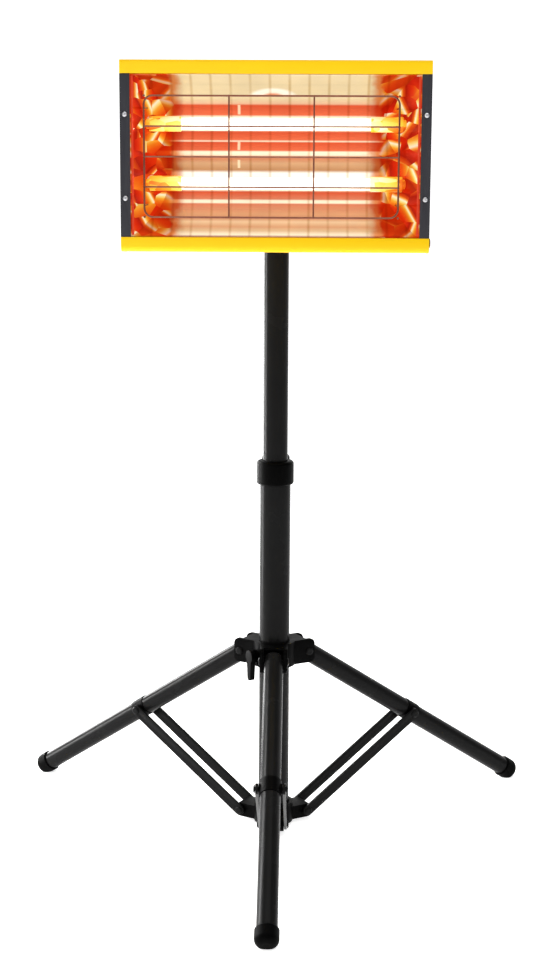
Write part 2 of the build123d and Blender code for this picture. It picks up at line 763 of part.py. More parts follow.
with BuildPart() as tilt_nuts:
    for side in (-1, 1):
        with BuildSketch(section(side * (head_width / 2 - cap_thickness - seat_gap))):
            with Locations((tilt_y, tilt_z)):
                RegularPolygon(nut_flats, 6, major_radius=False)
                Circle(tilt_bolt_radius + seat_gap, mode=Mode.SUBTRACT)
        extrude(amount=-side * nut_height)
save(tilt_nuts.part, "tilt_nuts")

# ==== reflector ============================================================

reflector_end_gap = 0.3      # between the trough and an end cap
reflector_half = head_width / 2 - cap_thickness - reflector_end_gap
edge_gap = 1.0
reflector_seat = 0.6         # between the trough's edge and the folded strips
reflector_flange_front = head_front + return_depth + reflector_seat
facets = 6                   # flat strips from a lamp's height to the outer edge
cusp_facets = 4              # flat strips from a lamp's height to the ridge between the lamps


def bay(z, lamp_z):
    """Depth of the reflector at height z for the parabola round one lamp."""
    return reflector_back - (z - lamp_z) ** 2 / (4 * focal_length)


def reflector_points():
    """Front surface of the reflector from the top edge to the bottom edge, in Y and Z."""
    upper, lower = lamp_heights
    ridge = (upper + lower) / 2
    top_edge = opening_top - edge_gap
    bottom_edge = opening_bottom + edge_gap
    points = [(reflector_flange_front, top_edge)]
    points += [(bay(z, upper), z) for z in
               [top_edge + (upper - top_edge) * i / facets for i in range(facets + 1)]]
    points += [(bay(z, upper), z) for z in
               [upper + (ridge - upper) * i / cusp_facets for i in range(1, cusp_facets + 1)]]
    points += [(bay(z, lower), z) for z in
               [ridge + (lower - ridge) * i / cusp_facets for i in range(1, cusp_facets + 1)]]
    points += [(bay(z, lower), z) for z in
               [lower + (bottom_edge - lower) * i / facets for i in range(1, facets + 1)]]
    points.append((reflector_flange_front, bottom_edge))
    return points


front_surface = reflector_points()
back_surface = [(y + reflector_sheet, z) for y, z in front_surface[1:-1]]
flange_lift = reflector_sheet / 2
back_surface = ([(reflector_flange_front, front_surface[0][1] + flange_lift),
                 (back_surface[0][0], front_surface[0][1] + flange_lift)]
                + back_surface[1:-1]
                + [(back_surface[-1][0], front_surface[-1][1] - flange_lift),
                   (reflector_flange_front, front_surface[-1][1] - flange_lift)])
with BuildPart() as reflector:
    with BuildSketch(section(-reflector_half)):
        with BuildLine():
            Polyline(*front_surface, *reversed(back_surface), close=True)
        make_face()
    extrude(amount=2 * reflector_half)
save(reflector.part, "reflector")

# sloped end mirrors of the reflector, with holes for the lamps and the guard's stays
mirror_sheet = 1.0
mirror_gap = 0.6             # between a mirror's edges and the trough
mirror_trim = 2.0            # taken off its corners at the opening
mirror_edge = 1.0            # its front edge, behind the front edge of the trough
mirror_back_gap = 2.0        # its rear edge, in front of the deepest line of the trough
mirror_knee = (138.0, -76.0)
mirror_end = 118.0
lamp_hole_gap = 1.4
lamp_hole = base_radius + lamp_hole_gap
stay_rise = 50.0
stay_hole = thin_radius + slide_gap
mirror_path = [(head_width / 2 - flange_width - mirror_gap, reflector_flange_front + mirror_edge),
               mirror_knee, (mirror_end, reflector_back - mirror_back_gap)]
stay_x = [guard_offset + s * (guard_width / 2 - wire_radius) for s in (-1, 1)]
stay_spots = [(x, head_middle + s * stay_rise) for x in stay_x for s in (-1, 1)]
cavity = [(y - mirror_gap, z) for y, z in front_surface[1:-1]]
cavity_top = opening_top - mirror_trim
cavity_bottom = opening_bottom + mirror_trim
cavity = ([(head_front, cavity_top), (cavity[0][0] - mirror_trim, cavity_top)]
          + cavity[1:-1]
          + [(cavity[-1][0] - mirror_trim, cavity_bottom), (head_front, cavity_bottom)])
for name, side in (("left", -1), ("right", 1)):
    with BuildPart() as mirror:
        with BuildSketch(level(head_bottom)):
            with BuildLine():
                outer = [(side * x, y) for x, y in mirror_path]
                inner = [(side * (x - mirror_sheet), y) for x, y in reversed(mirror_path)]
                Polyline(*outer, *inner, close=True)
            make_face()
        extrude(amount=head_height)
        with BuildSketch(section(-reflector_half)):
            with BuildLine():
                Polyline(*cavity, close=True)
            make_face()
        extrude(amount=2 * reflector_half, mode=Mode.INTERSECT)
        with BuildSketch(section(0)):
            with Locations(*[(lamp_y, z) for z in lamp_heights]):
                Circle(lamp_hole)
        extrude(amount=side * reflector_half, mode=Mode.SUBTRACT)
        with BuildSketch(face(reflector_back)):
            with Locations(*stay_spots):
                Circle(stay_hole)
        extrude(amount=head_depth, mode=Mode.SUBTRACT)
    save(mirror.part, f"reflector_end_{name}")

# ==== lamps ================================================================

glass_seat = 4.0
neck_radius = 5.0
neck_length = 20.0
neck_end = base_end + neck_length
filament_end_gap = 0.5
support_pitch = 26.0
support_thickness = 0.8
supports = int(2 * (glass_half - glass_seat) / support_pitch)
for name, z in zip(("upper", "lower"), lamp_heights):
    with BuildPart() as lamp:
        with BuildSketch(section(-glass_half)):
            with Locations((lamp_y, z)):
                Circle(lamp_radius)
                Circle(lamp_radius - lamp_wall, mode=Mode.SUBTRACT)
        extrude(amount=2 * glass_half)
    save(lamp.part, f"lamp_{name}")

    with BuildPart() as filament:
        with BuildSketch(section(-glass_half + filament_end_gap)):
            with Locations((lamp_y, z)):
                Circle(filament_radius)
        extrude(amount=2 * (glass_half - filament_end_gap))
        for i in range(supports):
            x = (i - (supports - 1) / 2) * support_pitch
            with BuildSketch(section(x - support_thickness / 2)):
                with Locations((lamp_y, z)):
                    Circle(lamp_radius - lamp_wall - slide_gap)
            extrude(amount=support_thickness)
    save(filament.part, f"filament_{name}")

with BuildPart() as lamp_bases:
    for side in (-1, 1):
        for z in lamp_heights:
            with BuildSketch(section(side * (glass_half - glass_seat))):
                with Locations((lamp_y, z)):
                    Circle(base_radius)
            extrude(amount=side * (base_end - glass_half + glass_seat))
            with BuildSketch(section(side * base_end)):
                with Locations((lamp_y, z)):
                    Circle(neck_radius)
            extrude(amount=side * (neck_end - base_end))
            with BuildSketch(section(side * (glass_half - glass_seat))):
                with Locations((lamp_y, z)):
                    Circle(lamp_radius + seat_gap)
            extrude(amount=side * (glass_seat + seat_gap), mode=Mode.SUBTRACT)
save(lamp_bases.part, "lamp_bases")

holder_start = 144.5
holder_end_gap = 0.5
holder_end = reflector_half - holder_end_gap
holder_depth = 17.0
holder_height = 20.0
holder_round = 2.5
with BuildPart() as lamp_holders:
    for side in (-1, 1):
        for z in lamp_heights:
            with BuildSketch(section(side * holder_start)):
                with Locations((lamp_y, z)):
                    RectangleRounded(holder_depth, holder_height, holder_round)
                    Circle(neck_radius + seat_gap, mode=Mode.SUBTRACT)
            extrude(amount=side * (holder_end - holder_start))
save(lamp_holders.part, "lamp_holders")

# ==== guard ================================================================

rows = 5
columns = 4
guard_plane = guard_front + wire_radius
row_pitch = (guard_height - 2 * wire_radius) / (rows - 1)
column_pitch = (guard_width - 2 * wire_radius) / (columns - 1)
frame_half_x = (guard_width - 2 * wire_radius) / 2
frame_half_z = (guard_height - 2 * wire_radius) / 2
stay_short = 10.0            # the stays stop this far in front of the deepest line
stay_end = reflector_back - stay_short
with BuildPart() as wire_guard:
    # rounded outer frame, swept in two halves
    for side in (-1, 1):
        far_x = guard_offset + side * frame_half_x
        with BuildLine(face(guard_plane)) as frame_path:
            FilletPolyline((guard_offset, head_middle + frame_half_z),
                           (far_x, head_middle + frame_half_z),
                           (far_x, head_middle - frame_half_z),
                           (guard_offset, head_middle - frame_half_z), radius=guard_corner)
        with BuildSketch(section(guard_offset)):
            with Locations((guard_plane, head_middle + frame_half_z)):
                Circle(wire_radius)
        sweep(path=frame_path.wires()[0])
    # inner rows in the plane of the frame
    for i in range(1, rows - 1):
        z = head_middle + (i - (rows - 1) / 2) * row_pitch
        with BuildSketch(section(guard_offset - frame_half_x)):
            with Locations((guard_plane, z)):
                Circle(thin_radius)
        extrude(amount=2 * frame_half_x)
    # inner columns welded behind the rows
    for i in range(1, columns - 1):
        x = guard_offset + (i - (columns - 1) / 2) * column_pitch
        with BuildSketch(level(head_middle - frame_half_z)):
            with Locations((x, guard_plane + 1.5 * thin_radius)):
                Circle(thin_radius)
        extrude(amount=2 * frame_half_z)
save(wire_guard.part, "wire_guard")

# four stays run back from the guard's frame through the end mirrors
with BuildPart() as guard_stays:
    with BuildSketch(face(guard_plane + wire_radius + seat_gap)):
        with Locations(*stay_spots):
            Circle(thin_radius)
    extrude(amount=-(stay_end - guard_plane - wire_radius - seat_gap))
save(guard_stays.part, "guard_stays")

# ==== wiring box on the back ===============================================

box_width = 96.0
box_height = 60.0
box_depth = 22.0
box_wall = 2.0
box_corner = 6.0
box_edge = 3.0
box_middle = head_middle
cover_screw_inset = 8.0
cover_hole = 1.6
cover_screw_radius = 1.5
cover_head_radius = 2.9
cover_head = 1.7
gland_y = head_back + box_depth / 2
gland_drop = 15.0
gland_z = box_middle - gland_drop
gland_bore = 4.0
gland_radius = 6.0           # of its hole in the side of the box
cover_spots = [(side * (box_width / 2 - cover_screw_inset), box_middle) for side in (-1, 1)]
with BuildPart() as rear_cover:
    with BuildSketch(face(head_back + seat_gap)):
        with Locations((0, box_middle)):
            RectangleRounded(box_width, box_height, box_corner)
    extrude(amount=-box_depth)
    fillet(rear_cover.faces().sort_by(Axis.Y)[-1].edges(), box_edge)
    with BuildSketch(face(head_back + seat_gap)):
        with Locations((0, box_middle)):
            RectangleRounded(box_width - 2 * box_wall, box_height - 2 * box_wall,
                             box_corner - box_wall)
    extrude(amount=-(box_depth - box_wall), mode=Mode.SUBTRACT)
    with BuildSketch(section(box_width / 2 - box_wall - past)):
        with Locations((gland_y, gland_z)):
            Circle(gland_radius)
    extrude(amount=box_wall + 2 * past, mode=Mode.SUBTRACT)
    with BuildSketch(face(head_back)):
        with Locations(*cover_spots):
            Circle(cover_hole)
    extrude(amount=-box_depth - past, mode=Mode.SUBTRACT)
save(rear_cover.part, "rear_cover")

with BuildPart() as rear_cover_screws:
    with BuildSketch(face(head_back + box_depth + 2 * seat_gap)):
        with Locations(*cover_spots):
            Circle(cover_head_radius)
    extrude(amount=-cover_head, taper=head_taper)
    with BuildSketch(face(head_back + box_depth + 2 * seat_gap)):
        with Locations(*cover_spots):
            Circle(cover_screw_radius)
    extrude(amount=box_depth)
save(rear_cover_screws.part, "rear_cover_screws")

block_drop = 8.0
block_spot = (-14.0, box_middle - block_drop)
block_width = 34.0
block_height = 16.0
block_depth = 12.0
block_corner = 1.0
block_start = head_back + 2 * seat_gap
terminal_pitch = (10.0, 8.0)
terminal_radius = 1.7
terminal_depth = 2.0
with BuildPart() as terminal_block:
    with BuildSketch(face(block_start)):
        with Locations(block_spot):
            RectangleRounded(block_width, block_height, block_corner)
    extrude(amount=-block_depth)
    with BuildSketch(face(block_start + block_depth)):
        with Locations(block_spot):
            with GridLocations(*terminal_pitch, 3, 2):
                Circle(terminal_radius)
    extrude(amount=terminal_depth, mode=Mode.SUBTRACT)
save(terminal_block.part, "terminal_block")

# cable gland through the side wall, with its nut inside
gland_start = box_width / 2 + seat_gap
gland_length = 15.0
gland_hex = 8.0              # half the width of its hexagons across their corners
gland_hex_height = 5.0
gland_nose = 6.8
gland_nose_taper = 8
gland_thread = 9.0
gland_nut_height = 3.5
with BuildPart() as cable_gland:
    with BuildSketch(section(gland_start)):
        with Locations((gland_y, gland_z)):
            RegularPolygon(gland_hex, 6)
    extrude(amount=gland_hex_height)
    with BuildSketch(section(gland_start + gland_hex_height)):
        with Locations((gland_y, gland_z)):
            Circle(gland_nose)
    extrude(amount=gland_length - gland_hex_height, taper=gland_nose_taper)
    with BuildSketch(section(gland_start - gland_thread)):
        with Locations((gland_y, gland_z)):
            Circle(gland_radius - seat_gap)
    extrude(amount=gland_thread)
    with BuildSketch(section(gland_start - gland_thread)):
        with Locations((gland_y, gland_z)):
            Circle(gland_bore)
    extrude(amount=gland_length + gland_thread, mode=Mode.SUBTRACT)
save(cable_gland.part, "cable_gland")

with BuildPart() as gland_nut:
    with BuildSketch(section(box_width / 2 - box_wall - seat_gap)):
        with Locations((gland_y, gland_z)):
            RegularPolygon(gland_hex, 6)
            Circle(gland_radius, mode=Mode.SUBTRACT)
    extrude(amount=-gland_nut_height)
save(gland_nut.part, "gland_nut")
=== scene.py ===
"""Free-standing infrared heater: the finished look of every piece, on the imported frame."""
import logging
from dataclasses import dataclass, field
from enum import Enum
from math import cos, pi, radians, sin
from typing import Iterable, Sequence

import bmesh
import bpy
from mathutils import Matrix, Vector


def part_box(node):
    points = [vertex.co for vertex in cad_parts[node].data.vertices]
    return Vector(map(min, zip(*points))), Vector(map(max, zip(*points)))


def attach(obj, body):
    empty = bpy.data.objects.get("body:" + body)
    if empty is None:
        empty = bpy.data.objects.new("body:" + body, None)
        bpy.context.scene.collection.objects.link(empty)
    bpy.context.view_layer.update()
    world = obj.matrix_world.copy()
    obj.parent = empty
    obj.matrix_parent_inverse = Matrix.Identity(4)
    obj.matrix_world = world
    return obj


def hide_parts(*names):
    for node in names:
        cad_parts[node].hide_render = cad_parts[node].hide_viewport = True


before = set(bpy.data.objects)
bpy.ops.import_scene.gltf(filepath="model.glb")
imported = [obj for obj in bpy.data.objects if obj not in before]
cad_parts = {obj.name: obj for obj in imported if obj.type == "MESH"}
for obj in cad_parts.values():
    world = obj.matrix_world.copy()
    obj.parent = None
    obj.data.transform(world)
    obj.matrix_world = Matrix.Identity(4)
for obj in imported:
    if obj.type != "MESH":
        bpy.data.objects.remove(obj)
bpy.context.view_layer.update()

LOG = logging.getLogger("heater")
MM = 0.001
MERGE = 1e-6                 # points closer than this are one
FLAT_ANGLE = 0.4             # faces that meet at less than this many degrees are one face
SHARP_ANGLE = 38.0           # edges that turn further than this are sharp
MIRROR_RIM = 2.2 * MM        # width of the red edge on the end mirrors
WHITE = (1.0, 1.0, 1.0)
Colour = tuple[float, float, float]
Socket = bpy.types.NodeSocket
Material = bpy.types.Material


class Body(Enum):
    """The rigid bodies of the heater."""

    COLUMN = "column"
    CLAMP_KNOB = "clamp_knob"
    HUB = "hub"
    HUB_LEVER = "hub_lever"
    FRONT_LEG = "front_leg"
    RIGHT_LEG = "right_leg"
    LEFT_LEG = "left_leg"
    FRONT_BRACE = "front_brace"
    RIGHT_BRACE = "right_brace"
    LEFT_BRACE = "left_brace"
    MAST = "mast"
    YOKE = "yoke"
    SWIVEL_KNOB = "swivel_knob"
    HEAD = "head"


class Slot(Enum):
    """The record's material slots."""

    YELLOW = "yellow_coat"
    CAP = "cap_grey"
    TUBE = "black_tube"
    PLASTIC = "black_plastic"
    RUBBER = "foot_rubber"
    REFLECTOR = "polished_reflector"
    QUARTZ = "quartz"
    FILAMENT = "filament"
    CERAMIC = "ceramic"
    WIRE = "guard_wire"
    STEEL = "zinc_steel"


def linear(red: int, green: int, blue: int) -> Colour:
    """Turns a colour as seen on a screen, 0 to 255, into linear light.

    Args:
        red: Red channel.
        green: Green channel.
        blue: Blue channel.

    Returns:
        The three channels in linear light.
    """
    def one(value: int) -> float:
        """Turns one channel into linear light."""
        share = value / 255
        return share / 12.92 if share <= 0.04045 else ((share + 0.055) / 1.055) ** 2.4

    return one(red), one(green), one(blue)


# ---- trees ------------------------------------------------------------------


class Tree:
    """A node tree with short ways to add nodes and join them."""

    def __init__(self, tree: bpy.types.NodeTree) -> None:
        """Keeps the shader or geometry tree that is filled."""
        self.tree = tree

    def add(self, kind: str, settings: dict | None = None, **inputs) -> bpy.types.Node:
        """Adds one node.

        Args:
            kind: The node's type name.
            settings: Properties of the node itself.
            **inputs: Values or sockets for its inputs, by name, with _ for a space.

        Returns:
            The new node.
        """
        node = self.tree.nodes.new(kind)
        for name, value in (settings or {}).items():
            setattr(node, name, value)
        for name, value in inputs.items():
            self.feed(node.inputs[name.replace("_", " ")], value)
        return node

    def feed(self, socket: Socket, value: object) -> None:
        """Gives an input a value, or joins it to an output.

        Args:
            socket: The input.
            value: A constant, or another node's output.
        """
        if isinstance(value, Socket):
            self.tree.links.new(value, socket)
        elif isinstance(value, tuple) and len(value) == 3 and socket.type == "RGBA":
            socket.default_value = (*value, 1.0)
        else:
            socket.default_value = value

    def math(self, operation: str, *values: object) -> Socket:
        """Adds a Math node.

        Args:
            operation: What it does.
            *values: Its inputs in order.

        Returns:
            Its result.
        """
        node = self.add("ShaderNodeMath", {"operation": operation})
        for socket, value in zip(node.inputs, values):
            self.feed(socket, value)
        return node.outputs[0]

    def mix(self, factor: object, first: object, second: object, blend: str = "MIX") -> Socket:
        """Mixes two colours.

        Args:
            factor: Share of the second colour.
            first: First colour.
            second: Second colour.
            blend: How they are mixed.

        Returns:
            The mixed colour.
        """
        node = self.add("ShaderNodeMix", {"data_type": "RGBA", "blend_type": blend})
        self.feed(node.inputs[0], factor)
        self.feed(node.inputs[6], first)
        self.feed(node.inputs[7], second)
        return node.outputs[2]

    def tint(self, first: object, second: object) -> Socket:
        """Multiplies two colours."""
        return self.mix(1.0, first, second, "MULTIPLY")

    def ease(self, value: object, start: float, end: float) -> Socket:
        """Runs smoothly from 0 to 1 as a value goes from start to end."""
        return self.add("ShaderNodeMapRange", {"interpolation_type": "SMOOTHSTEP"},
                        Value=value, From_Min=start, From_Max=end).outputs[0]

    def spread(self, value: object, low: float, high: float) -> Socket:
        """Spreads a value from 0 to 1 over another range."""
        return self.add("ShaderNodeMapRange", None, Value=value, To_Min=low,
                        To_Max=high).outputs[0]

    def ramp(self, factor: object, stops: Sequence[tuple[float, Colour]],
             interpolation: str = "LINEAR") -> Socket:
        """Adds a colour ramp.

        Args:
            factor: Where along the ramp.
            stops: Places and colours.
            interpolation: How it runs between the stops.

        Returns:
            The colour.
        """
        node = self.tree.nodes.new("ShaderNodeValToRGB")
        node.color_ramp.interpolation = interpolation
        elements = node.color_ramp.elements
        while len(elements) < len(stops):
            elements.new(0.5)
        for element, (place, colour) in zip(elements, stops):
            element.position = place
            element.color = (*colour, 1.0)
        self.feed(node.inputs[0], factor)
        return node.outputs[0]


class ShaderTree(Tree):
    """A material's tree, with its Principled shader at hand."""

    def __init__(self, name: str) -> None:
        """Starts a material with one Principled shader.

        Args:
            name: The material's name.
        """
        self.material = bpy.data.materials.new(name)
        self.material.use_nodes = True
        super().__init__(self.material.node_tree)
        self.shader = next(n for n in self.tree.nodes if n.type == "BSDF_PRINCIPLED")
        self.place = self.add("ShaderNodeTexCoord").outputs["Object"]

    def set(self, **inputs) -> None:
        """Sets the shader's inputs by name, with _ for a space."""
        for name, value in inputs.items():
            self.feed(self.shader.inputs[name.replace("_", " ")], value)

    def noise(self, scale: float, detail: float = 3.0) -> Socket:
        """Noise in object space, with its scale per metre and its octaves."""
        return self.add("ShaderNodeTexNoise", None, Vector=self.place, Scale=scale,
                        Detail=detail).outputs[0]

    def bump(self, height: Socket, strength: float, distance: float) -> None:
        """Bumps the surface by a pattern, a share of it and a depth in metres."""
        node = self.add("ShaderNodeBump", None, Strength=strength, Distance=distance,
                        Height=height)
        self.set(Normal=node.outputs[0])

    def rough(self, pattern: Socket, middle: float, spread: float) -> None:
        """Lets the roughness follow a pattern, to either side of a middle value."""
        self.set(Roughness=self.spread(pattern, middle - spread, middle + spread))

    def axis(self, name: str) -> Socket:
        """The X, Y or Z coordinate in object space."""
        return self.add("ShaderNodeSeparateXYZ", None, Vector=self.place).outputs[name]


@dataclass(frozen=True)
class Shards:
    """Broken reflections of a glow: long facets, each with its own run of hot colours."""

    turn: tuple[float, float, float] = (0.7, 0.3, 0.2)
    density: tuple[float, float, float] = (38.0, 24.0, 70.0)
    slope: float = 62.0
    shuffle: float = 5.0

    def colour(self, tree: ShaderTree) -> Socket:
        """Adds the pattern to a material's tree.

        Args:
            tree: The material's tree.

        Returns:
            The colour.
        """
        turned = tree.add("ShaderNodeMapping", None, Vector=tree.place, Rotation=self.turn,
                          Scale=self.density)
        cells = tree.add("ShaderNodeTexVoronoi", None, Vector=turned.outputs[0], Scale=1.0,
                         Randomness=1.0)
        slant = tree.add("ShaderNodeVectorMath", {"operation": "SUBTRACT"})
        tree.feed(slant.inputs[0], cells.outputs["Color"])
        tree.feed(slant.inputs[1], (0.5, 0.5, 0.5))
        run = tree.add("ShaderNodeVectorMath", {"operation": "DOT_PRODUCT"})
        tree.feed(run.inputs[0], slant.outputs[0])
        tree.feed(run.inputs[1], tree.place)
        pick = tree.add("ShaderNodeSeparateColor", None, Color=cells.outputs["Color"])
        step = tree.math("FRACT", tree.math(
            "ADD", tree.math("MULTIPLY", run.outputs["Value"], self.slope),
            tree.math("MULTIPLY", pick.outputs[0], self.shuffle)))
        return tree.ramp(step, [
            (0.0, linear(170, 26, 6)), (0.16, linear(206, 34, 6)), (0.34, linear(226, 52, 12)),
            (0.48, linear(232, 84, 18)), (0.6, linear(240, 128, 28)),
            (0.68, linear(248, 178, 56)), (0.74, linear(255, 230, 140)),
            (0.8, linear(255, 248, 214)), (0.85, linear(250, 176, 70)),
            (0.9, linear(226, 84, 20)), (1.0, linear(190, 34, 8))])


# ---- finishes ---------------------------------------------------------------


@dataclass(frozen=True)
class Coat:
    """A plain finish: patches of two near colours, a wandering roughness and a fine grain."""

    name: str
    colour: Colour
    patch: Colour
    roughness: float = 0.43
    roughness_spread: float = 0.07
    specular: float = 0.5
    metallic: float = 0.0
    patch_scale: float = 60.0
    patch_detail: float = 4.0
    worn_scale: float = 300.0
    worn_detail: float = 3.0
    grain_scale: float = 900.0
    grain_share: float = 0.25
    grain_depth: float = 0.00006

    def grain(self, tree: ShaderTree) -> Socket:
        """The grain's pattern."""
        return tree.noise(self.grain_scale, 2.0)

    def material(self) -> Material:
        """Builds the material.

        Returns:
            The finished material.
        """
        tree = ShaderTree(self.name)
        patches = tree.noise(self.patch_scale, self.patch_detail)
        tree.set(Base_Color=tree.mix(patches, self.colour, self.patch),
                 Specular_IOR_Level=self.specular, Metallic=self.metallic)
        tree.rough(tree.noise(self.worn_scale, self.worn_detail), self.roughness,
                   self.roughness_spread)
        tree.bump(self.grain(tree), self.grain_share, self.grain_depth)
        return tree.material


@dataclass(frozen=True)
class PowderCoat(Coat):
    """A baked powder coat with a faint orange-peel surface."""

    roughness_spread: float = 0.06
    specular: float = 0.22
    patch_scale: float = 18.0
    worn_scale: float = 240.0


@dataclass(frozen=True)
class SatinPaint(Coat):
    """Satin black paint on a drawn tube, with faint marks along it."""

    roughness: float = 0.26
    specular: float = 0.05
    patch_scale: float = 26.0
    patch_detail: float = 5.0
    worn_scale: float = 26.0
    worn_detail: float = 5.0
    grain_scale: float = 1400.0
    grain_share: float = 0.2
    grain_depth: float = 0.00004


@dataclass(frozen=True)
class Moulding(Coat):
    """Moulded plastic or rubber with a fine spark-eroded grain."""

    specular: float = 0.03
    grain_scale: float = 1600.0
    grain_share: float = 0.35
    grain_depth: float = 0.00004

    def grain(self, tree: ShaderTree) -> Socket:
        """The grain's pattern."""
        return tree.add("ShaderNodeTexVoronoi", None, Vector=tree.place,
                        Scale=self.grain_scale).outputs["Distance"]


@dataclass(frozen=True)
class Plated(Coat):
    """Bright plated steel with fine turning marks."""

    roughness: float = 0.29
    roughness_spread: float = 0.09
    metallic: float = 1.0
    patch_scale: float = 90.0
    worn_scale: float = 700.0
    grain_scale: float = 2200.0
    grain_share: float = 0.15
    grain_depth: float = 0.00003


@dataclass(frozen=True)
class GlowingReflector:
    """Polished sheet with painted reflections of the two lamps: bands of light along the trough,
    glowing as emission.
    """

    name: str
    low: float
    high: float
    end_start: float
    end_full: float
    seam_pitch: float = 0.0207
    seam_edge: float = 0.38
    strength: float = 0.86
    mirror_share: float = 0.16
    roughness: float = 0.22
    arch_height: float = 0.8315
    arch_shift: float = 0.0035
    arch_size: tuple[float, float] = (0.025, 0.0085)
    glint_shift: float = 0.0395
    glint_width: tuple[float, float] = (0.0022, 0.0004)
    glint_share: float = 0.75
    end_wander: float = 0.016
    shard_share: float = 0.45

    def bands(self) -> list[tuple[float, Colour]]:
        """Lists the bands of painted lamp reflection from the lower edge to the upper one.

        Returns:
            Places from 0 to 1 and their colours.
        """
        rim = linear(150, 74, 40)
        cream = linear(228, 208, 166)
        pale = linear(250, 234, 206)
        white = linear(255, 252, 244)
        ember = linear(224, 108, 72)
        deep = linear(210, 84, 52)
        tan = linear(190, 138, 96)
        salmon = linear(212, 126, 94)
        peach = linear(212, 154, 112)
        rose = linear(206, 138, 100)
        return [(0.0, rim), (0.012, pale), (0.035, linear(214, 180, 140)), (0.06, peach),
                (0.09, linear(226, 190, 150)), (0.11, rose), (0.135, peach), (0.2, salmon),
                (0.206, pale), (0.222, pale), (0.228, salmon), (0.275, deep), (0.288, pale),
                (0.31, white), (0.394, white), (0.412, tan), (0.455, linear(208, 162, 122)),
                (0.48, rose), (0.5, salmon), (0.506, pale), (0.528, pale), (0.536, ember),
                (0.588, deep), (0.594, pale), (0.602, ember), (0.652, deep), (0.668, pale),
                (0.748, pale), (0.758, ember), (0.818, deep), (0.828, linear(226, 180, 146)),
                (0.86, cream)]

    def arch(self, tree: ShaderTree, along: Socket, colour: Socket) -> Socket:
        """Adds the arched reflection near the top.

        Args:
            tree: The material's tree.
            along: Distance along the trough.
            colour: The bands.

        Returns:
            The bands with the arch over them.
        """
        height = tree.math("SUBTRACT", tree.axis("Z"), self.arch_height)
        wide = tree.math("DIVIDE", tree.math("ADD", along, self.arch_shift), self.arch_size[0])
        tall = tree.math("DIVIDE", height, self.arch_size[1])
        radius = tree.math("SQRT", tree.math("ADD", tree.math("MULTIPLY", wide, wide),
                                             tree.math("MULTIPLY", tall, tall)))
        upper = tree.math("GREATER_THAN", height, 0.0)
        light = tree.ramp(radius, [(0.0, linear(226, 120, 84)), (0.3, linear(236, 160, 124)),
                                   (0.5, linear(252, 240, 220)), (1.0, linear(255, 252, 240))])
        return tree.mix(tree.math("MULTIPLY", tree.ease(radius, 1.1, 0.75), upper), colour, light)

    def glints(self, tree: ShaderTree, along: Socket, up: Socket, colour: Socket) -> Socket:
        """Adds the short upright glints across three of the bands.

        Args:
            tree: The material's tree.
            along: Distance along the trough.
            up: Height in the trough, from 0 to 1.
            colour: The bands.

        Returns:
            The bands with the glints over them.
        """
        off = tree.math("ABSOLUTE", tree.math("ADD", along, self.glint_shift))
        none = (0.0, 0.0, 0.0)
        some = (self.glint_share, self.glint_share, self.glint_share)
        lit = tree.ramp(up, [(0.0, none), (0.425, some), (0.475, none), (0.536, some),
                             (0.588, none), (0.758, some), (0.818, none)], "CONSTANT")
        return tree.mix(tree.math("MULTIPLY", tree.ease(off, *self.glint_width), lit), colour,
                        linear(252, 232, 196))

    def ends(self, tree: ShaderTree, along: Socket, colour: Socket) -> Socket:
        """Paints shade on the bands past the lamps' glass and breaks them up into painted broken
        reflections.

        Args:
            tree: The material's tree.
            along: Distance along the trough.
            colour: The bands.

        Returns:
            The bands with their ends.
        """
        lean = tree.math("SUBTRACT", tree.noise(60.0), 0.5)
        ragged = tree.math("ADD", tree.math("ABSOLUTE", along),
                           tree.math("MULTIPLY", lean, self.end_wander))
        # Painted shade past the ends of the lamps' glass, then a darker orange painted shade mixed
        # with painted broken reflections.
        shaded = tree.ease(ragged, self.end_start * 0.9, self.end_start)
        colour = tree.mix(shaded, colour, tree.tint(colour, linear(238, 158, 112)))
        far = tree.ease(ragged, self.end_start, self.end_full)
        orange_shade = tree.tint(colour, linear(238, 132, 76))
        return tree.mix(far, colour, tree.mix(self.shard_share, orange_shade, Shards().colour(tree)))

    def material(self) -> Material:
        """Builds the material.

        Returns:
            The finished material.
        """
        tree = ShaderTree(self.name)
        up = tree.add("ShaderNodeMapRange", None, Value=tree.axis("Z"), From_Min=self.low,
                      From_Max=self.high).outputs[0]
        along = tree.axis("X")
        colour = self.arch(tree, along, tree.ramp(up, self.bands()))
        colour = self.ends(tree, along, self.glints(tree, along, up, colour))
        # Dark lines at the sheet's seams, painted as shade into the glowing reflection; the small
        # ridge along them is a real bump.
        phase = tree.math("FRACT", tree.math("DIVIDE", tree.math("ADD", along, 1.0),
                                             self.seam_pitch))
        seam = tree.ease(tree.math("ABSOLUTE", tree.math("SUBTRACT", phase, 0.5)),
                         self.seam_edge, 0.5)
        colour = tree.mix(tree.math("MULTIPLY", seam, tree.noise(25.0)), colour,
                          linear(214, 190, 156), "MULTIPLY")
        colour = tree.tint(colour, tree.spread(tree.noise(14.0), 0.8, 1.12))
        # All of this colour glows as emission, as a painted reflection of the lamps; the base
        # colour keeps it dim for the real metal.
        dim = (self.mirror_share, self.mirror_share, self.mirror_share)
        tree.set(Base_Color=tree.tint(colour, dim), Emission_Color=colour,
                 Emission_Strength=self.strength, Metallic=1.0, Roughness=self.roughness)
        tree.bump(seam, 0.3, 0.0002)
        return tree.material


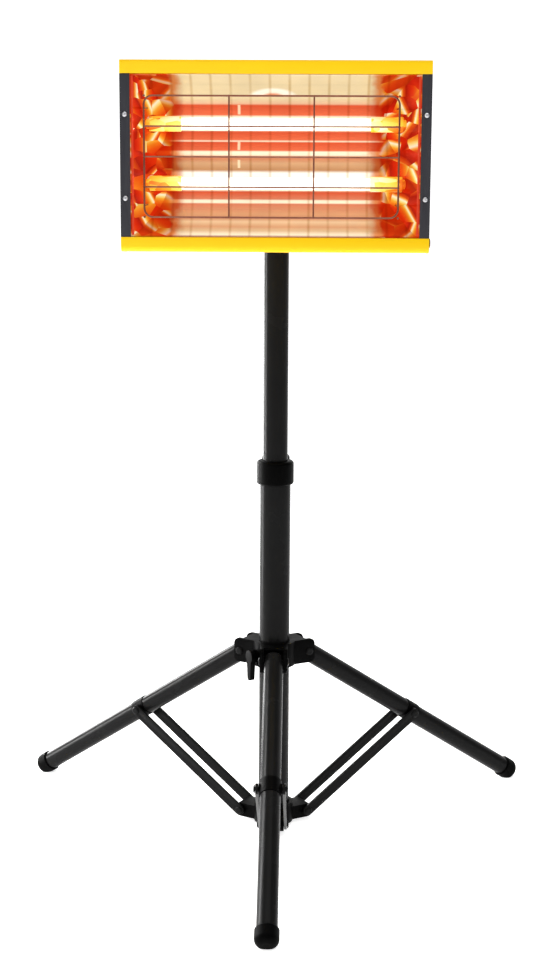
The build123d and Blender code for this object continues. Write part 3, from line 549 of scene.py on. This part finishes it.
@dataclass(frozen=True)
class GlowingMirror:
    """Mirror sheet at the trough's ends, with the glow painted on as broken reflected streaks and
    a red edge, all glowing as emission.
    """

    name: str
    edge_x: float
    strength: float = 0.8
    roughness: float = 0.12

    def material(self) -> Material:
        """Builds the material.

        Returns:
            The finished material.
        """
        tree = ShaderTree(self.name)
        # Painted reflection: the streaks and the red edge are emitted light.
        rim = tree.math("GREATER_THAN", tree.math("ABSOLUTE", tree.axis("X")), self.edge_x)
        colour = tree.mix(rim, Shards().colour(tree), linear(222, 70, 44))
        tree.set(Base_Color=tree.tint(colour, (0.2, 0.2, 0.2)), Emission_Color=colour,
                 Emission_Strength=self.strength, Metallic=1.0, Roughness=self.roughness)
        tree.bump(tree.noise(45.0), 0.4, 0.002)
        return tree.material


@dataclass(frozen=True)
class HotGlass:
    """Clear quartz lit from inside, white in the middle and yellow at its ends."""

    name: str
    end_start: float
    end_full: float
    strength: float = 1.2
    roughness: float = 0.05
    opacity: float = 0.82

    def material(self) -> Material:
        """Builds the material.

        Returns:
            The finished material.
        """
        tree = ShaderTree(self.name)
        far = tree.ease(tree.math("ABSOLUTE", tree.axis("X")), self.end_start, self.end_full)
        glow = tree.mix(far, linear(255, 252, 244), linear(252, 200, 60))
        streak = tree.mix(tree.noise(120.0), glow, linear(255, 246, 222))
        tree.set(Base_Color=linear(255, 250, 240), Emission_Color=streak,
                 Emission_Strength=self.strength, Roughness=self.roughness, Alpha=self.opacity)
        return tree.material


@dataclass(frozen=True)
class HotMetal:
    """White-hot tungsten."""

    name: str
    strength: float = 2.5

    def material(self) -> Material:
        """Builds the material.

        Returns:
            The finished material.
        """
        tree = ShaderTree(self.name)
        heat = tree.mix(tree.noise(200.0), linear(255, 236, 190), linear(255, 248, 226))
        tree.set(Base_Color=heat, Emission_Color=heat, Emission_Strength=self.strength)
        return tree.material


@dataclass(frozen=True)
class LampLitCeramic:
    """Cream ceramic next to a lamp, with the lamp's yellow glow painted on as emitted light."""

    name: str
    lamp_side_x: float
    far_side_x: float
    strength: float = 0.55
    roughness: float = 0.4
    patch_density: tuple[float, float, float] = (70.0, 150.0, 190.0)

    def material(self) -> Material:
        """Builds the material.

        Returns:
            The finished material.
        """
        tree = ShaderTree(self.name)
        far = tree.add("ShaderNodeMapRange", None, Value=tree.math("ABSOLUTE", tree.axis("X")),
                       From_Min=self.lamp_side_x, From_Max=self.far_side_x).outputs[0]
        patch = tree.add("ShaderNodeMapping", None, Vector=tree.place, Scale=self.patch_density)
        cells = tree.add("ShaderNodeTexVoronoi", None, Vector=patch.outputs[0], Scale=1.0)
        pick = tree.add("ShaderNodeSeparateColor", None, Color=cells.outputs["Color"])
        place = tree.math("ADD", tree.math("MULTIPLY", far, 0.5),
                          tree.math("MULTIPLY", pick.outputs[0], 0.5))
        # Painted lamp light: pale yellow near the lamp and orange further out, in patches, all of
        # it emitted.
        glow = tree.ramp(place, [
            (0.05, linear(255, 246, 200)), (0.25, linear(254, 226, 110)),
            (0.45, linear(248, 196, 54)), (0.65, linear(228, 120, 24)),
            (0.9, linear(204, 66, 14))])
        tree.set(Base_Color=glow, Emission_Color=glow, Emission_Strength=self.strength,
                 Roughness=self.roughness)
        tree.bump(tree.noise(900.0), 0.2, 0.0001)
        return tree.material


# ---- pieces -----------------------------------------------------------------


def link_piece(mesh: bpy.types.Mesh, name: str, material: Material) -> bpy.types.Object:
    """Makes a piece from a finished mesh.

    Args:
        mesh: The mesh, in the frame's own coordinates.
        name: The piece's name.
        material: Its finish.

    Returns:
        The piece.
    """
    mesh.materials.clear()
    mesh.materials.append(material)
    mesh.shade_smooth()
    mesh.set_sharp_from_angle(angle=radians(SHARP_ANGLE))
    piece = bpy.data.objects.new(name, mesh)
    bpy.context.scene.collection.objects.link(piece)
    return piece


def softened(node: str, width: float, segments: int = 2) -> bpy.types.Mesh:
    """A copy of a CAD node's mesh with its sharp edges rounded.

    Args:
        node: The CAD node.
        width: Width of the rounding in metres.
        segments: Faces across the rounding.

    Returns:
        The rounded mesh.
    """
    shape = bmesh.new()
    shape.from_mesh(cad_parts[node].data)
    bmesh.ops.remove_doubles(shape, verts=shape.verts, dist=MERGE)
    bmesh.ops.dissolve_limit(shape, angle_limit=radians(FLAT_ANGLE), verts=shape.verts,
                             edges=shape.edges)
    sharp = [e for e in shape.edges
             if e.is_manifold and e.calc_face_angle(0.0) > radians(SHARP_ANGLE)]
    bmesh.ops.bevel(shape, geom=sharp, offset=width, segments=segments, profile=0.5,
                    affect="EDGES", clamp_overlap=True)
    bmesh.ops.triangulate(shape, faces=[f for f in shape.faces if len(f.verts) > 4])
    mesh = bpy.data.meshes.new(node + "_soft")
    shape.to_mesh(mesh)
    shape.free()
    return mesh


def settle(piece: bpy.types.Object, body: Body, nodes: Iterable[str] = ()) -> None:
    """Puts a piece on its body and hides the CAD nodes that it replaces.

    Args:
        piece: The piece.
        body: The body it rides on.
        nodes: CAD nodes that it replaces.
    """
    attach(piece, body.value)
    names = list(nodes)
    if names:
        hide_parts(*names)
    LOG.info("%s rides on %s", piece.name, body.value)


def dress(names: Iterable[str], material: Material) -> None:
    """Gives CAD nodes a finish.

    Args:
        names: The CAD nodes.
        material: Their finish.
    """
    for name in names:
        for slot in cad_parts[name].material_slots:
            slot.material = material
        LOG.info("%s is dressed in %s", name, material.name)


class GeometryTree(Tree):
    """A Geometry Nodes tree with named inputs, turned into a plain mesh when it is used."""

    def __init__(self, name: str) -> None:
        """Starts an empty tree with a geometry output.

        Args:
            name: The tree's name.
        """
        super().__init__(bpy.data.node_groups.new(name, "GeometryNodeTree"))
        self.tree.interface.new_socket("Geometry", in_out="OUTPUT",
                                       socket_type="NodeSocketGeometry")
        self.group_in = self.tree.nodes.new("NodeGroupInput")
        self.group_out = self.tree.nodes.new("NodeGroupOutput")
        self.values: dict[str, object] = {}

    def join(self, parts: Iterable[Socket]) -> Socket:
        """Joins geometry.

        Args:
            parts: The geometry, in order.

        Returns:
            All of it as one.
        """
        node = self.add("GeometryNodeJoinGeometry")
        for part in parts:
            self.tree.links.new(part, node.inputs[0])
        return node.outputs[0]

    def size(self, name: str, value: object, kind: str = "NodeSocketFloat") -> Socket:
        """Adds a named input.

        Args:
            name: The input's name.
            value: Its value.
            kind: Its socket type.

        Returns:
            The socket that carries it inside the tree.
        """
        socket = self.tree.interface.new_socket(name, in_out="INPUT", socket_type=kind)
        self.values[socket.identifier] = value
        return self.group_in.outputs[name]

    def bake(self, geometry: Socket, name: str, material: Material) -> bpy.types.Object:
        """Ends the tree and turns it into a piece with a plain mesh.

        Args:
            geometry: What the tree makes.
            name: The piece's name.
            material: Its finish.

        Returns:
            The piece, with no modifier left on it.
        """
        finish = self.size("Material", material, "NodeSocketMaterial")
        solid = self.add("GeometryNodeRealizeInstances", None, Geometry=geometry)
        painted = self.add("GeometryNodeSetMaterial", None, Geometry=solid.outputs[0],
                           Material=finish)
        self.tree.links.new(painted.outputs[0], self.group_out.inputs[0])
        host = bpy.data.objects.new(name + "_host", bpy.data.meshes.new(name + "_host"))
        bpy.context.scene.collection.objects.link(host)
        modifier = host.modifiers.new("tree", "NODES")
        modifier.node_group = self.tree
        for identifier, value in self.values.items():
            modifier[identifier] = value
        depsgraph = bpy.context.evaluated_depsgraph_get()
        mesh = bpy.data.meshes.new_from_object(host.evaluated_get(depsgraph))
        host.modifiers.remove(modifier)
        bpy.data.objects.remove(host)
        mesh.name = name
        return link_piece(mesh, name, material)


def placed(tree: GeometryTree, geometry: Socket, location: Vector,
           turn: tuple[float, float, float] = (0.0, 0.0, 0.0)) -> Socket:
    """Moves geometry to a place inside a tree and turns it by Euler angles."""
    node = tree.add("GeometryNodeTransform", None, Geometry=geometry,
                    Translation=tuple(location), Rotation=turn)
    return node.outputs[0]


# ---- sub-assemblies ---------------------------------------------------------


@dataclass
class Finishes:
    """Every finish of the heater, built once."""

    head_low: float
    head_high: float
    glass_half: float
    base_end: float
    mirror_edge: float
    shaded_from: float = 1.04
    shaded_full: float = 1.1
    warm_from: float = 0.82
    made: dict[Slot, Material] = field(default_factory=dict)
    mirror: Material | None = None

    def build(self) -> None:
        """Builds the materials."""
        yellow = PowderCoat("Yellow powder coat", linear(250, 200, 2), linear(254, 208, 4))
        cap = PowderCoat("Grey end cap coat", linear(44, 44, 48), linear(54, 54, 60),
                         roughness=0.61)
        tube = SatinPaint("Satin black paint", linear(19, 19, 19), linear(26, 26, 26))
        plastic = Moulding("Black moulded plastic", linear(1, 1, 1), linear(3, 3, 3))
        rubber = Moulding("Foot rubber", linear(1, 1, 1), linear(4, 4, 4), roughness=0.51,
                          grain_scale=1100.0, grain_depth=0.0001)
        wire = Plated("Guard wire plating", linear(150, 104, 88), linear(116, 66, 52),
                      roughness=0.31)
        steel = Plated("Zinc plated steel", linear(215, 215, 218), linear(176, 176, 180))
        span = self.glass_half
        listed = {
            Slot.YELLOW: yellow, Slot.CAP: cap, Slot.TUBE: tube, Slot.PLASTIC: plastic,
            Slot.RUBBER: rubber,
            Slot.REFLECTOR: GlowingReflector("Polished reflector", self.head_low, self.head_high,
                                             span * self.shaded_from, span * self.shaded_full),
            Slot.QUARTZ: HotGlass("Glowing quartz", span * self.warm_from, span),
            Slot.FILAMENT: HotMetal("White-hot tungsten"),
            Slot.CERAMIC: LampLitCeramic("Glowing ceramic", span, self.base_end),
            Slot.WIRE: wire, Slot.STEEL: steel}
        self.made = {slot: finish.material() for slot, finish in listed.items()}
        self.mirror = GlowingMirror("End mirror", self.mirror_edge).material()

    def of(self, slot: Slot) -> Material:
        """The finish of one slot."""
        return self.made[slot]

    def soften(self, node: str, body: Body, slot: Slot, width: float, segments: int = 2) -> None:
        """Shows a rounded copy in place of a CAD node.

        Args:
            node: The CAD node.
            body: The body it rides on.
            slot: The record's slot.
            width: Width of the rounding in metres.
            segments: Faces across the rounding.
        """
        piece = link_piece(softened(node, width, segments), node + "_finish", self.of(slot))
        settle(piece, body, [node])


@dataclass
class Screws:
    """Round screw heads with a cross recess, spread over given spots."""

    head_radius: float
    head_height: float
    recess: float = 0.55
    rings: int = 5
    around: int = 24
    arm_power: int = 6

    def head_mesh(self) -> bpy.types.Mesh:
        """Builds one head along +Z from the origin, with its cross sunk in.

        Returns:
            The head's mesh.
        """
        shape = bmesh.new()
        rings, around = self.rings, self.around
        for ring in range(rings + 1):
            tilt = ring / rings * pi / 2
            radius = self.head_radius * cos(tilt) if ring < rings else 0.0
            height = self.head_height * sin(tilt)
            if ring == rings:
                shape.verts.new((0.0, 0.0, height))
                break
            for step in range(around):
                turn = 2 * pi * step / around
                arm = abs(cos(2 * turn)) ** self.arm_power
                sunk = self.recess * self.head_height * arm * max(0.0, (ring - 1) / rings)
                shape.verts.new((radius * cos(turn), radius * sin(turn), height - sunk))
        shape.verts.ensure_lookup_table()
        for ring in range(rings - 1):
            for step in range(around):
                nxt = (step + 1) % around
                low, up = ring * around, (ring + 1) * around
                shape.faces.new([shape.verts[spot] for spot in
                                 (low + step, low + nxt, up + nxt, up + step)])
        tip = shape.verts[-1]
        tip.co.z -= self.recess * self.head_height
        top = (rings - 1) * around
        for step in range(around):
            shape.faces.new([shape.verts[top + step], shape.verts[top + (step + 1) % around], tip])
        shape.faces.new([shape.verts[step] for step in reversed(range(around))])
        bmesh.ops.recalc_face_normals(shape, faces=shape.faces)
        mesh = bpy.data.meshes.new("screw_head")
        shape.to_mesh(mesh)
        shape.free()
        return mesh

    def build(self, name: str, spots: Sequence[Vector], turn: tuple[float, float, float],
              material: Material) -> bpy.types.Object:
        """Spreads the head over the spots.

        Args:
            name: The piece's name.
            spots: Where each head sits.
            turn: Euler angles that point its axis outwards.
            material: Its finish.

        Returns:
            The piece.
        """
        tree = GeometryTree(name + "_tree")
        one = bpy.data.objects.new("one_screw", self.head_mesh())
        bpy.context.scene.collection.objects.link(one)
        source = tree.size("Screw", one, "NodeSocketObject")
        info = tree.add("GeometryNodeObjectInfo", None, Object=source)
        heads = [placed(tree, info.outputs["Geometry"], spot, turn) for spot in spots]
        piece = tree.bake(tree.join(heads), name, material)
        bpy.data.objects.remove(one)
        return piece


@dataclass
class Guard:
    """Wire guard: a rounded frame, rows, columns and weld beads."""

    rows: int = 5
    columns: int = 4
    corner: float = 9 * MM
    frame_wire: float = 1.0 * MM
    thin_wire: float = 0.85 * MM
    weld: float = 1.25 * MM
    layer_gap: float = 1.5       # from the rows back to the columns, in inner wire radii
    corner_steps: int = 8
    frame_facets: int = 10
    wire_facets: int = 8

    def build(self, finishes: Finishes) -> None:
        """Builds the guard in one tree and puts it in the CAD guard's place.

        Args:
            finishes: The heater's finishes.
        """
        low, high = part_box("wire_guard")
        face = low.y + self.frame_wire
        middle = Vector(((low.x + high.x) / 2, face, (low.z + high.z) / 2))
        tree = GeometryTree("guard_tree")
        width = tree.size("Width", high.x - low.x - 2 * self.frame_wire)
        height = tree.size("Height", high.z - low.z - 2 * self.frame_wire)
        corner = tree.size("Corner radius", self.corner)
        thick = tree.size("Frame wire radius", self.frame_wire)
        thin = tree.size("Inner wire radius", self.thin_wire)
        weld = tree.size("Weld radius", self.weld)
        rows = tree.size("Rows", self.rows, "NodeSocketInt")
        columns = tree.size("Columns", self.columns, "NodeSocketInt")
        round_frame = tree.add("GeometryNodeCurvePrimitiveCircle", None,
                               Resolution=self.frame_facets, Radius=thick)
        round_wire = tree.add("GeometryNodeCurvePrimitiveCircle", None,
                              Resolution=self.wire_facets, Radius=thin)
        outline = tree.add("GeometryNodeCurvePrimitiveQuadrilateral", None, Width=width,
                           Height=height)
        rounded = tree.add("GeometryNodeFilletCurve", {"mode": "POLY"}, Curve=outline.outputs[0],
                           Radius=corner, Count=self.corner_steps)
        edge = tree.add("GeometryNodeCurveToMesh", None, Curve=rounded.outputs[0],
                        Profile_Curve=round_frame.outputs[0])
        upright = (pi / 2, 0.0, 0.0)
        back = Vector((0.0, self.layer_gap * self.thin_wire, 0.0))
        row = self.wires(tree, width, height, rows, round_wire, True)
        column = self.wires(tree, height, width, columns, round_wire, False)
        piece = tree.bake(tree.join([
            placed(tree, edge.outputs[0], middle, upright),
            placed(tree, row, middle, upright),
            placed(tree, column, middle + back, upright),
            self.welds(tree, width, height, rows, columns, weld, middle + back / 2),
        ]), "wire_guard_finish", finishes.of(Slot.WIRE))
        settle(piece, Body.HEAD, ["wire_guard"])
        dress(["guard_stays"], finishes.of(Slot.WIRE))

    @staticmethod
    def wires(tree: GeometryTree, length: Socket, across: Socket, count: Socket,
              profile: bpy.types.Node, level: bool) -> Socket:
        """Parallel wires, spread evenly from one side of the frame to the other.

        Args:
            tree: The tree.
            length: Length of each wire.
            across: Distance from the first wire to the last.
            count: Number of wires.
            profile: The circle they are swept with.
            level: Whether the wires run along X, or along Y.

        Returns:
            The wires, lying in the XY plane about the origin.
        """
        half = tree.math("MULTIPLY", length, 0.5)
        back = tree.math("MULTIPLY", length, -0.5)
        first, second = ("X", "Y") if level else ("Y", "X")
        start = tree.add("ShaderNodeCombineXYZ", None, **{first: back})
        end = tree.add("ShaderNodeCombineXYZ", None, **{first: half})
        line = tree.add("GeometryNodeCurvePrimitiveLine", None, Start=start.outputs[0],
                        End=end.outputs[0])
        tube = tree.add("GeometryNodeCurveToMesh", None, Curve=line.outputs[0],
                        Profile_Curve=profile.outputs[0])
        gaps = tree.math("SUBTRACT", count, 1.0)
        step = tree.math("DIVIDE", across, gaps)
        first_place = tree.math("SUBTRACT", step, tree.math("MULTIPLY", across, 0.5))
        begin = tree.add("ShaderNodeCombineXYZ", None, **{second: first_place})
        offset = tree.add("ShaderNodeCombineXYZ", None, **{second: step})
        inner = tree.math("SUBTRACT", count, 2.0)
        points = tree.add("GeometryNodeMeshLine", None, Count=inner,
                          Start_Location=begin.outputs[0], Offset=offset.outputs[0])
        spread = tree.add("GeometryNodeInstanceOnPoints", None, Points=points.outputs[0],
                          Instance=tube.outputs[0])
        return spread.outputs[0]

    @staticmethod
    def welds(tree: GeometryTree, width: Socket, height: Socket, rows: Socket,
              columns: Socket, radius: Socket, place: Vector) -> Socket:
        """A small weld bead at every crossing.

        Args:
            tree: The tree.
            width: Width of the grid.
            height: Height of the grid.
            rows: Number of rows.
            columns: Number of columns.
            radius: Radius of a bead.
            place: Middle of the grid.

        Returns:
            The beads.
        """
        grid = tree.add("GeometryNodeMeshGrid", None, Size_X=width, Size_Y=height,
                        Vertices_X=columns, Vertices_Y=rows)
        bead = tree.add("GeometryNodeMeshIcoSphere", None, Radius=radius, Subdivisions=2)
        spread = tree.add("GeometryNodeInstanceOnPoints", None, Points=grid.outputs[0],
                          Instance=bead.outputs[0])
        return placed(tree, spread.outputs[0], place, (pi / 2, 0.0, 0.0))


@dataclass
class Lamps:
    """Two quartz lamps with wound filaments, ceramic ends and holders."""

    coil_pitch: float = 1.9 * MM
    coil_wire: float = 0.45 * MM
    coil_radius: float = 1.5 * MM
    coil_points: int = 10
    coil_facets: int = 5
    base_edge: float = 0.8 * MM

    def filament(self, name: str, finishes: Finishes) -> None:
        """Winds one filament through its support discs.

        Args:
            name: upper or lower.
            finishes: The heater's finishes.
        """
        node = "filament_" + name
        low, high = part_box(node)
        middle = (low + high) / 2
        length = high.x - low.x
        tree = GeometryTree(node + "_tree")
        span = tree.size("Length", length)
        radius = tree.size("Coil radius", self.coil_radius)
        wire = tree.size("Wire radius", self.coil_wire)
        pitch = tree.size("Pitch", self.coil_pitch)
        turns = tree.math("DIVIDE", span, pitch)
        coil = tree.add("GeometryNodeCurveSpiral", None, Resolution=self.coil_points,
                        Rotations=turns, Start_Radius=radius, End_Radius=radius, Height=span)
        section = tree.add("GeometryNodeCurvePrimitiveCircle", None, Resolution=self.coil_facets,
                           Radius=wire)
        swept = tree.add("GeometryNodeCurveToMesh", None, Curve=coil.outputs[0],
                         Profile_Curve=section.outputs[0], Fill_Caps=True)
        start = Vector((low.x, middle.y, middle.z))
        laid = placed(tree, swept.outputs[0], start, (0.0, pi / 2, 0.0))
        piece = tree.bake(laid, node + "_finish", finishes.of(Slot.FILAMENT))
        settle(piece, Body.HEAD, [node])

    def build(self, finishes: Finishes) -> None:
        """Builds both lamps.

        Args:
            finishes: The heater's finishes.
        """
        for name in ("upper", "lower"):
            self.filament(name, finishes)
        dress(["lamp_upper", "lamp_lower"], finishes.of(Slot.QUARTZ))
        finishes.soften("lamp_bases", Body.HEAD, Slot.CERAMIC, self.base_edge)
        dress(["lamp_holders", "terminal_block"], finishes.of(Slot.CERAMIC))


@dataclass
class Head:
    """Shell, end caps, reflector and the wiring box."""

    edge: float = 0.6 * MM
    cap_edge: float = 0.4 * MM
    cover_edge: float = 0.5 * MM
    cap_screw: Screws = field(default_factory=lambda: Screws(2.7 * MM, 1.5 * MM))
    cover_screw: Screws = field(default_factory=lambda: Screws(2.9 * MM, 1.7 * MM))

    def build(self, finishes: Finishes) -> None:
        """Builds the head's own pieces.

        Args:
            finishes: The heater's finishes.
        """
        finishes.soften("housing_shell", Body.HEAD, Slot.YELLOW, self.edge)
        for name in ("end_cap_left", "end_cap_right"):
            finishes.soften(name, Body.HEAD, Slot.CAP, self.cap_edge)
        dress(["reflector"], finishes.of(Slot.REFLECTOR))
        dress(["reflector_end_left", "reflector_end_right"], finishes.mirror)
        finishes.soften("rear_cover", Body.HEAD, Slot.PLASTIC, self.cover_edge)
        dress(["cable_gland", "gland_nut"], finishes.of(Slot.PLASTIC))
        dress(["tilt_washers", "tilt_nuts"], finishes.of(Slot.STEEL))
        dress(["tilt_bolts"], finishes.of(Slot.TUBE))
        self.screws(finishes)

    def screws(self, finishes: Finishes) -> None:
        """Puts cross-head screws on the end caps and on the wiring box.

        Args:
            finishes: The heater's finishes.
        """
        steel = finishes.of(Slot.STEEL)
        low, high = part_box("end_cap_screws")
        reach = self.cap_screw.head_radius
        spots = [Vector((x, low.y + self.cap_screw.head_height, z))
                 for x in (low.x + reach, high.x - reach)
                 for z in (low.z + reach, high.z - reach)]
        piece = self.cap_screw.build("cap_screw_heads", spots, (pi / 2, 0.0, 0.0), steel)
        settle(piece, Body.HEAD, ["end_cap_screws"])
        low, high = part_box("rear_cover_screws")
        reach = self.cover_screw.head_radius
        spots = [Vector((x, high.y - self.cover_screw.head_height, (low.z + high.z) / 2))
                 for x in (low.x + reach, high.x - reach)]
        piece = self.cover_screw.build("cover_screw_heads", spots, (-pi / 2, 0.0, 0.0), steel)
        settle(piece, Body.HEAD, ["rear_cover_screws"])


@dataclass
class Mast:
    """Telescopic mast with its collar, knobs, adapter and yoke."""

    edge: float = 0.5 * MM
    collar_edge: float = 1.2 * MM
    knob_edge: float = 1.4 * MM
    swivel_edge: float = 1.0 * MM

    def build(self, finishes: Finishes) -> None:
        """Builds the mast's pieces.

        Args:
            finishes: The heater's finishes.
        """
        dress(["lower_tube", "upper_tube"], finishes.of(Slot.TUBE))
        dress(["column_plug", "guide_bush", "mast_glide"], finishes.of(Slot.PLASTIC))
        finishes.soften("clamp_collar", Body.COLUMN, Slot.PLASTIC, self.collar_edge, 3)
        finishes.soften("clamp_knob", Body.CLAMP_KNOB, Slot.PLASTIC, self.knob_edge, 3)
        finishes.soften("swivel_knob", Body.SWIVEL_KNOB, Slot.PLASTIC, self.swivel_edge, 3)
        finishes.soften("mast_adapter", Body.YOKE, Slot.TUBE, self.edge)
        finishes.soften("yoke", Body.YOKE, Slot.TUBE, self.edge)
        dress(["clamp_screw", "swivel_screw", "yoke_screws"], finishes.of(Slot.STEEL))


@dataclass
class Tripod:
    """Hub, legs, braces, lower collar and feet."""

    edge: float = 0.9 * MM
    brace_edge: float = 0.5 * MM

    def build(self, finishes: Finishes) -> None:
        """Builds the tripod's pieces.

        Args:
            finishes: The heater's finishes.
        """
        tube = finishes.of(Slot.TUBE)
        plastic = finishes.of(Slot.PLASTIC)
        finishes.soften("hub", Body.HUB, Slot.PLASTIC, self.edge, 3)
        finishes.soften("hub_lever", Body.HUB_LEVER, Slot.PLASTIC, self.edge, 3)
        finishes.soften("lower_collar", Body.COLUMN, Slot.PLASTIC, self.edge, 3)
        dress(["hub_pins", "lower_collar_pins"], tube)
        dress(["hub_lever_screw"], finishes.of(Slot.STEEL))
        sides = (("front", Body.FRONT_BRACE), ("right", Body.RIGHT_BRACE),
                 ("left", Body.LEFT_BRACE))
        for name, body in sides:
            finishes.soften("brace_" + name, body, Slot.TUBE, self.brace_edge)
            dress(["leg_" + name, "leg_pin_" + name], tube)
            dress(["leg_plug_" + name, "leg_clip_" + name], plastic)
            dress(["foot_" + name], finishes.of(Slot.RUBBER))


@dataclass
class Studio:
    """Pale floor, soft light and the camera."""

    mast_y: float
    camera_height: float = 0.7725
    camera_distance: float = 1.9739
    camera_side: float = 0.0348
    heading: float = 0.0226
    pitch: float = 0.1878
    roll: float = 0.0046
    lens: float = 65.05
    sensor: float = 36.0
    aim_height: float = 0.45
    sky: float = 0.3
    floor_glow: float = 0.74
    floor_half: float = 9.0
    floor_back: float = 3.0
    bend_radius: float = 2.0
    bend_steps: int = 12
    wall_height: float = 6.0

    def build(self) -> None:
        """Builds the floor, the lights and the camera."""
        self.floor()
        self.world()
        self.lights()
        self.camera()
        bpy.context.scene.view_settings.view_transform = "Standard"

    def floor(self) -> None:
        """A white floor that curves up far behind the heater."""
        profile = [(-self.floor_half, 0.0), (self.floor_back, 0.0)]
        for step in range(1, self.bend_steps + 1):
            turn = step * pi / (2 * self.bend_steps)
            profile.append((self.floor_back + self.bend_radius * sin(turn),
                            self.bend_radius - self.bend_radius * cos(turn)))
        profile.append((self.floor_back + self.bend_radius, self.wall_height))
        shape = bmesh.new()
        rows = [[shape.verts.new((x, y, z)) for y, z in profile]
                for x in (-self.floor_half, self.floor_half)]
        for i in range(len(profile) - 1):
            shape.faces.new([rows[0][i], rows[1][i], rows[1][i + 1], rows[0][i + 1]])
        bmesh.ops.recalc_face_normals(shape, faces=shape.faces)
        mesh = bpy.data.meshes.new("studio_floor")
        shape.to_mesh(mesh)
        shape.free()
        tree = ShaderTree("Studio white")
        tree.set(Base_Color=tree.mix(tree.noise(3.0), (0.93, 0.93, 0.93), (0.96, 0.96, 0.96)),
                 Roughness=0.9, Specular_IOR_Level=0.1, Emission_Color=WHITE,
                 Emission_Strength=self.floor_glow)
        link_piece(mesh, "studio_floor", tree.material)

    def world(self) -> None:
        """Even white light from all round."""
        world = bpy.data.worlds.new("Studio")
        world.use_nodes = True
        background = next(n for n in world.node_tree.nodes if n.type == "BACKGROUND")
        background.inputs["Color"].default_value = (*WHITE, 1.0)
        background.inputs["Strength"].default_value = self.sky
        bpy.context.scene.world = world

    def area(self, name: str, place: Vector, size: tuple[float, float], power: float) -> None:
        """Adds one soft light that faces the heater.

        Args:
            name: Its name.
            place: Where it stands.
            size: Its width and height in metres.
            power: Its power in watts.
        """
        light = bpy.data.lights.new(name, "AREA")
        light.shape = "RECTANGLE"
        light.size, light.size_y = size
        light.energy = power
        lamp = bpy.data.objects.new(name, light)
        lamp.location = place
        aim = Vector((0.0, self.mast_y, self.aim_height)) - place
        lamp.rotation_euler = aim.to_track_quat("-Z", "Y").to_euler()
        bpy.context.scene.collection.objects.link(lamp)

    def lights(self) -> None:
        """Strips beside and behind the heater, a soft box in front and a wide one above."""
        self.area("back_strip", Vector((-1.0, self.mast_y + 1.3, 0.62)), size=(0.3, 1.3),
                  power=30.0)
        self.area("side_strip", Vector((-1.2, self.mast_y + 0.3, 0.55)), size=(0.16, 1.5),
                  power=34.0)
        self.area("front_box", Vector((-1.5, -2.5, 1.3)), size=(2.2, 2.0), power=13.0)
        self.area("top_box", Vector((0.2, -0.6, 2.6)), size=(2.2, 1.6), power=21.5)

    def camera(self) -> None:
        """Stands the camera in front, a little above the middle, looking down."""
        data = bpy.data.cameras.new("camera")
        data.lens = self.lens
        data.sensor_width = self.sensor
        camera = bpy.data.objects.new("camera", data)
        camera.location = (self.camera_side, self.mast_y - self.camera_distance,
                           self.camera_height)
        aim = (Matrix.Rotation(self.heading, 4, "Z") @ Matrix.Rotation(pi / 2 - self.pitch, 4, "X")
               @ Matrix.Rotation(self.roll, 4, "Z"))
        camera.rotation_euler = aim.to_euler()
        bpy.context.scene.collection.objects.link(camera)
        bpy.context.scene.camera = camera


def main() -> None:
    """Builds every sub-assembly in order."""
    logging.basicConfig(level=logging.INFO, format="%(message)s")
    low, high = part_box("reflector")
    glass_low, glass_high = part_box("lamp_upper")
    base_low, base_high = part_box("lamp_bases")
    tube_low, tube_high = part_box("lower_tube")
    finishes = Finishes(low.z, high.z, glass_half=(glass_high.x - glass_low.x) / 2,
                        base_end=(base_high.x - base_low.x) / 2,
                        mirror_edge=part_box("reflector_end_right")[1].x - MIRROR_RIM)
    finishes.build()
    for assembly in (Head(), Lamps(), Guard(), Mast(), Tripod()):
        assembly.build(finishes)
        LOG.info("%s done", type(assembly).__name__)
    Studio((tube_low.y + tube_high.y) / 2).build()


if __name__ == "__main__":
    main()
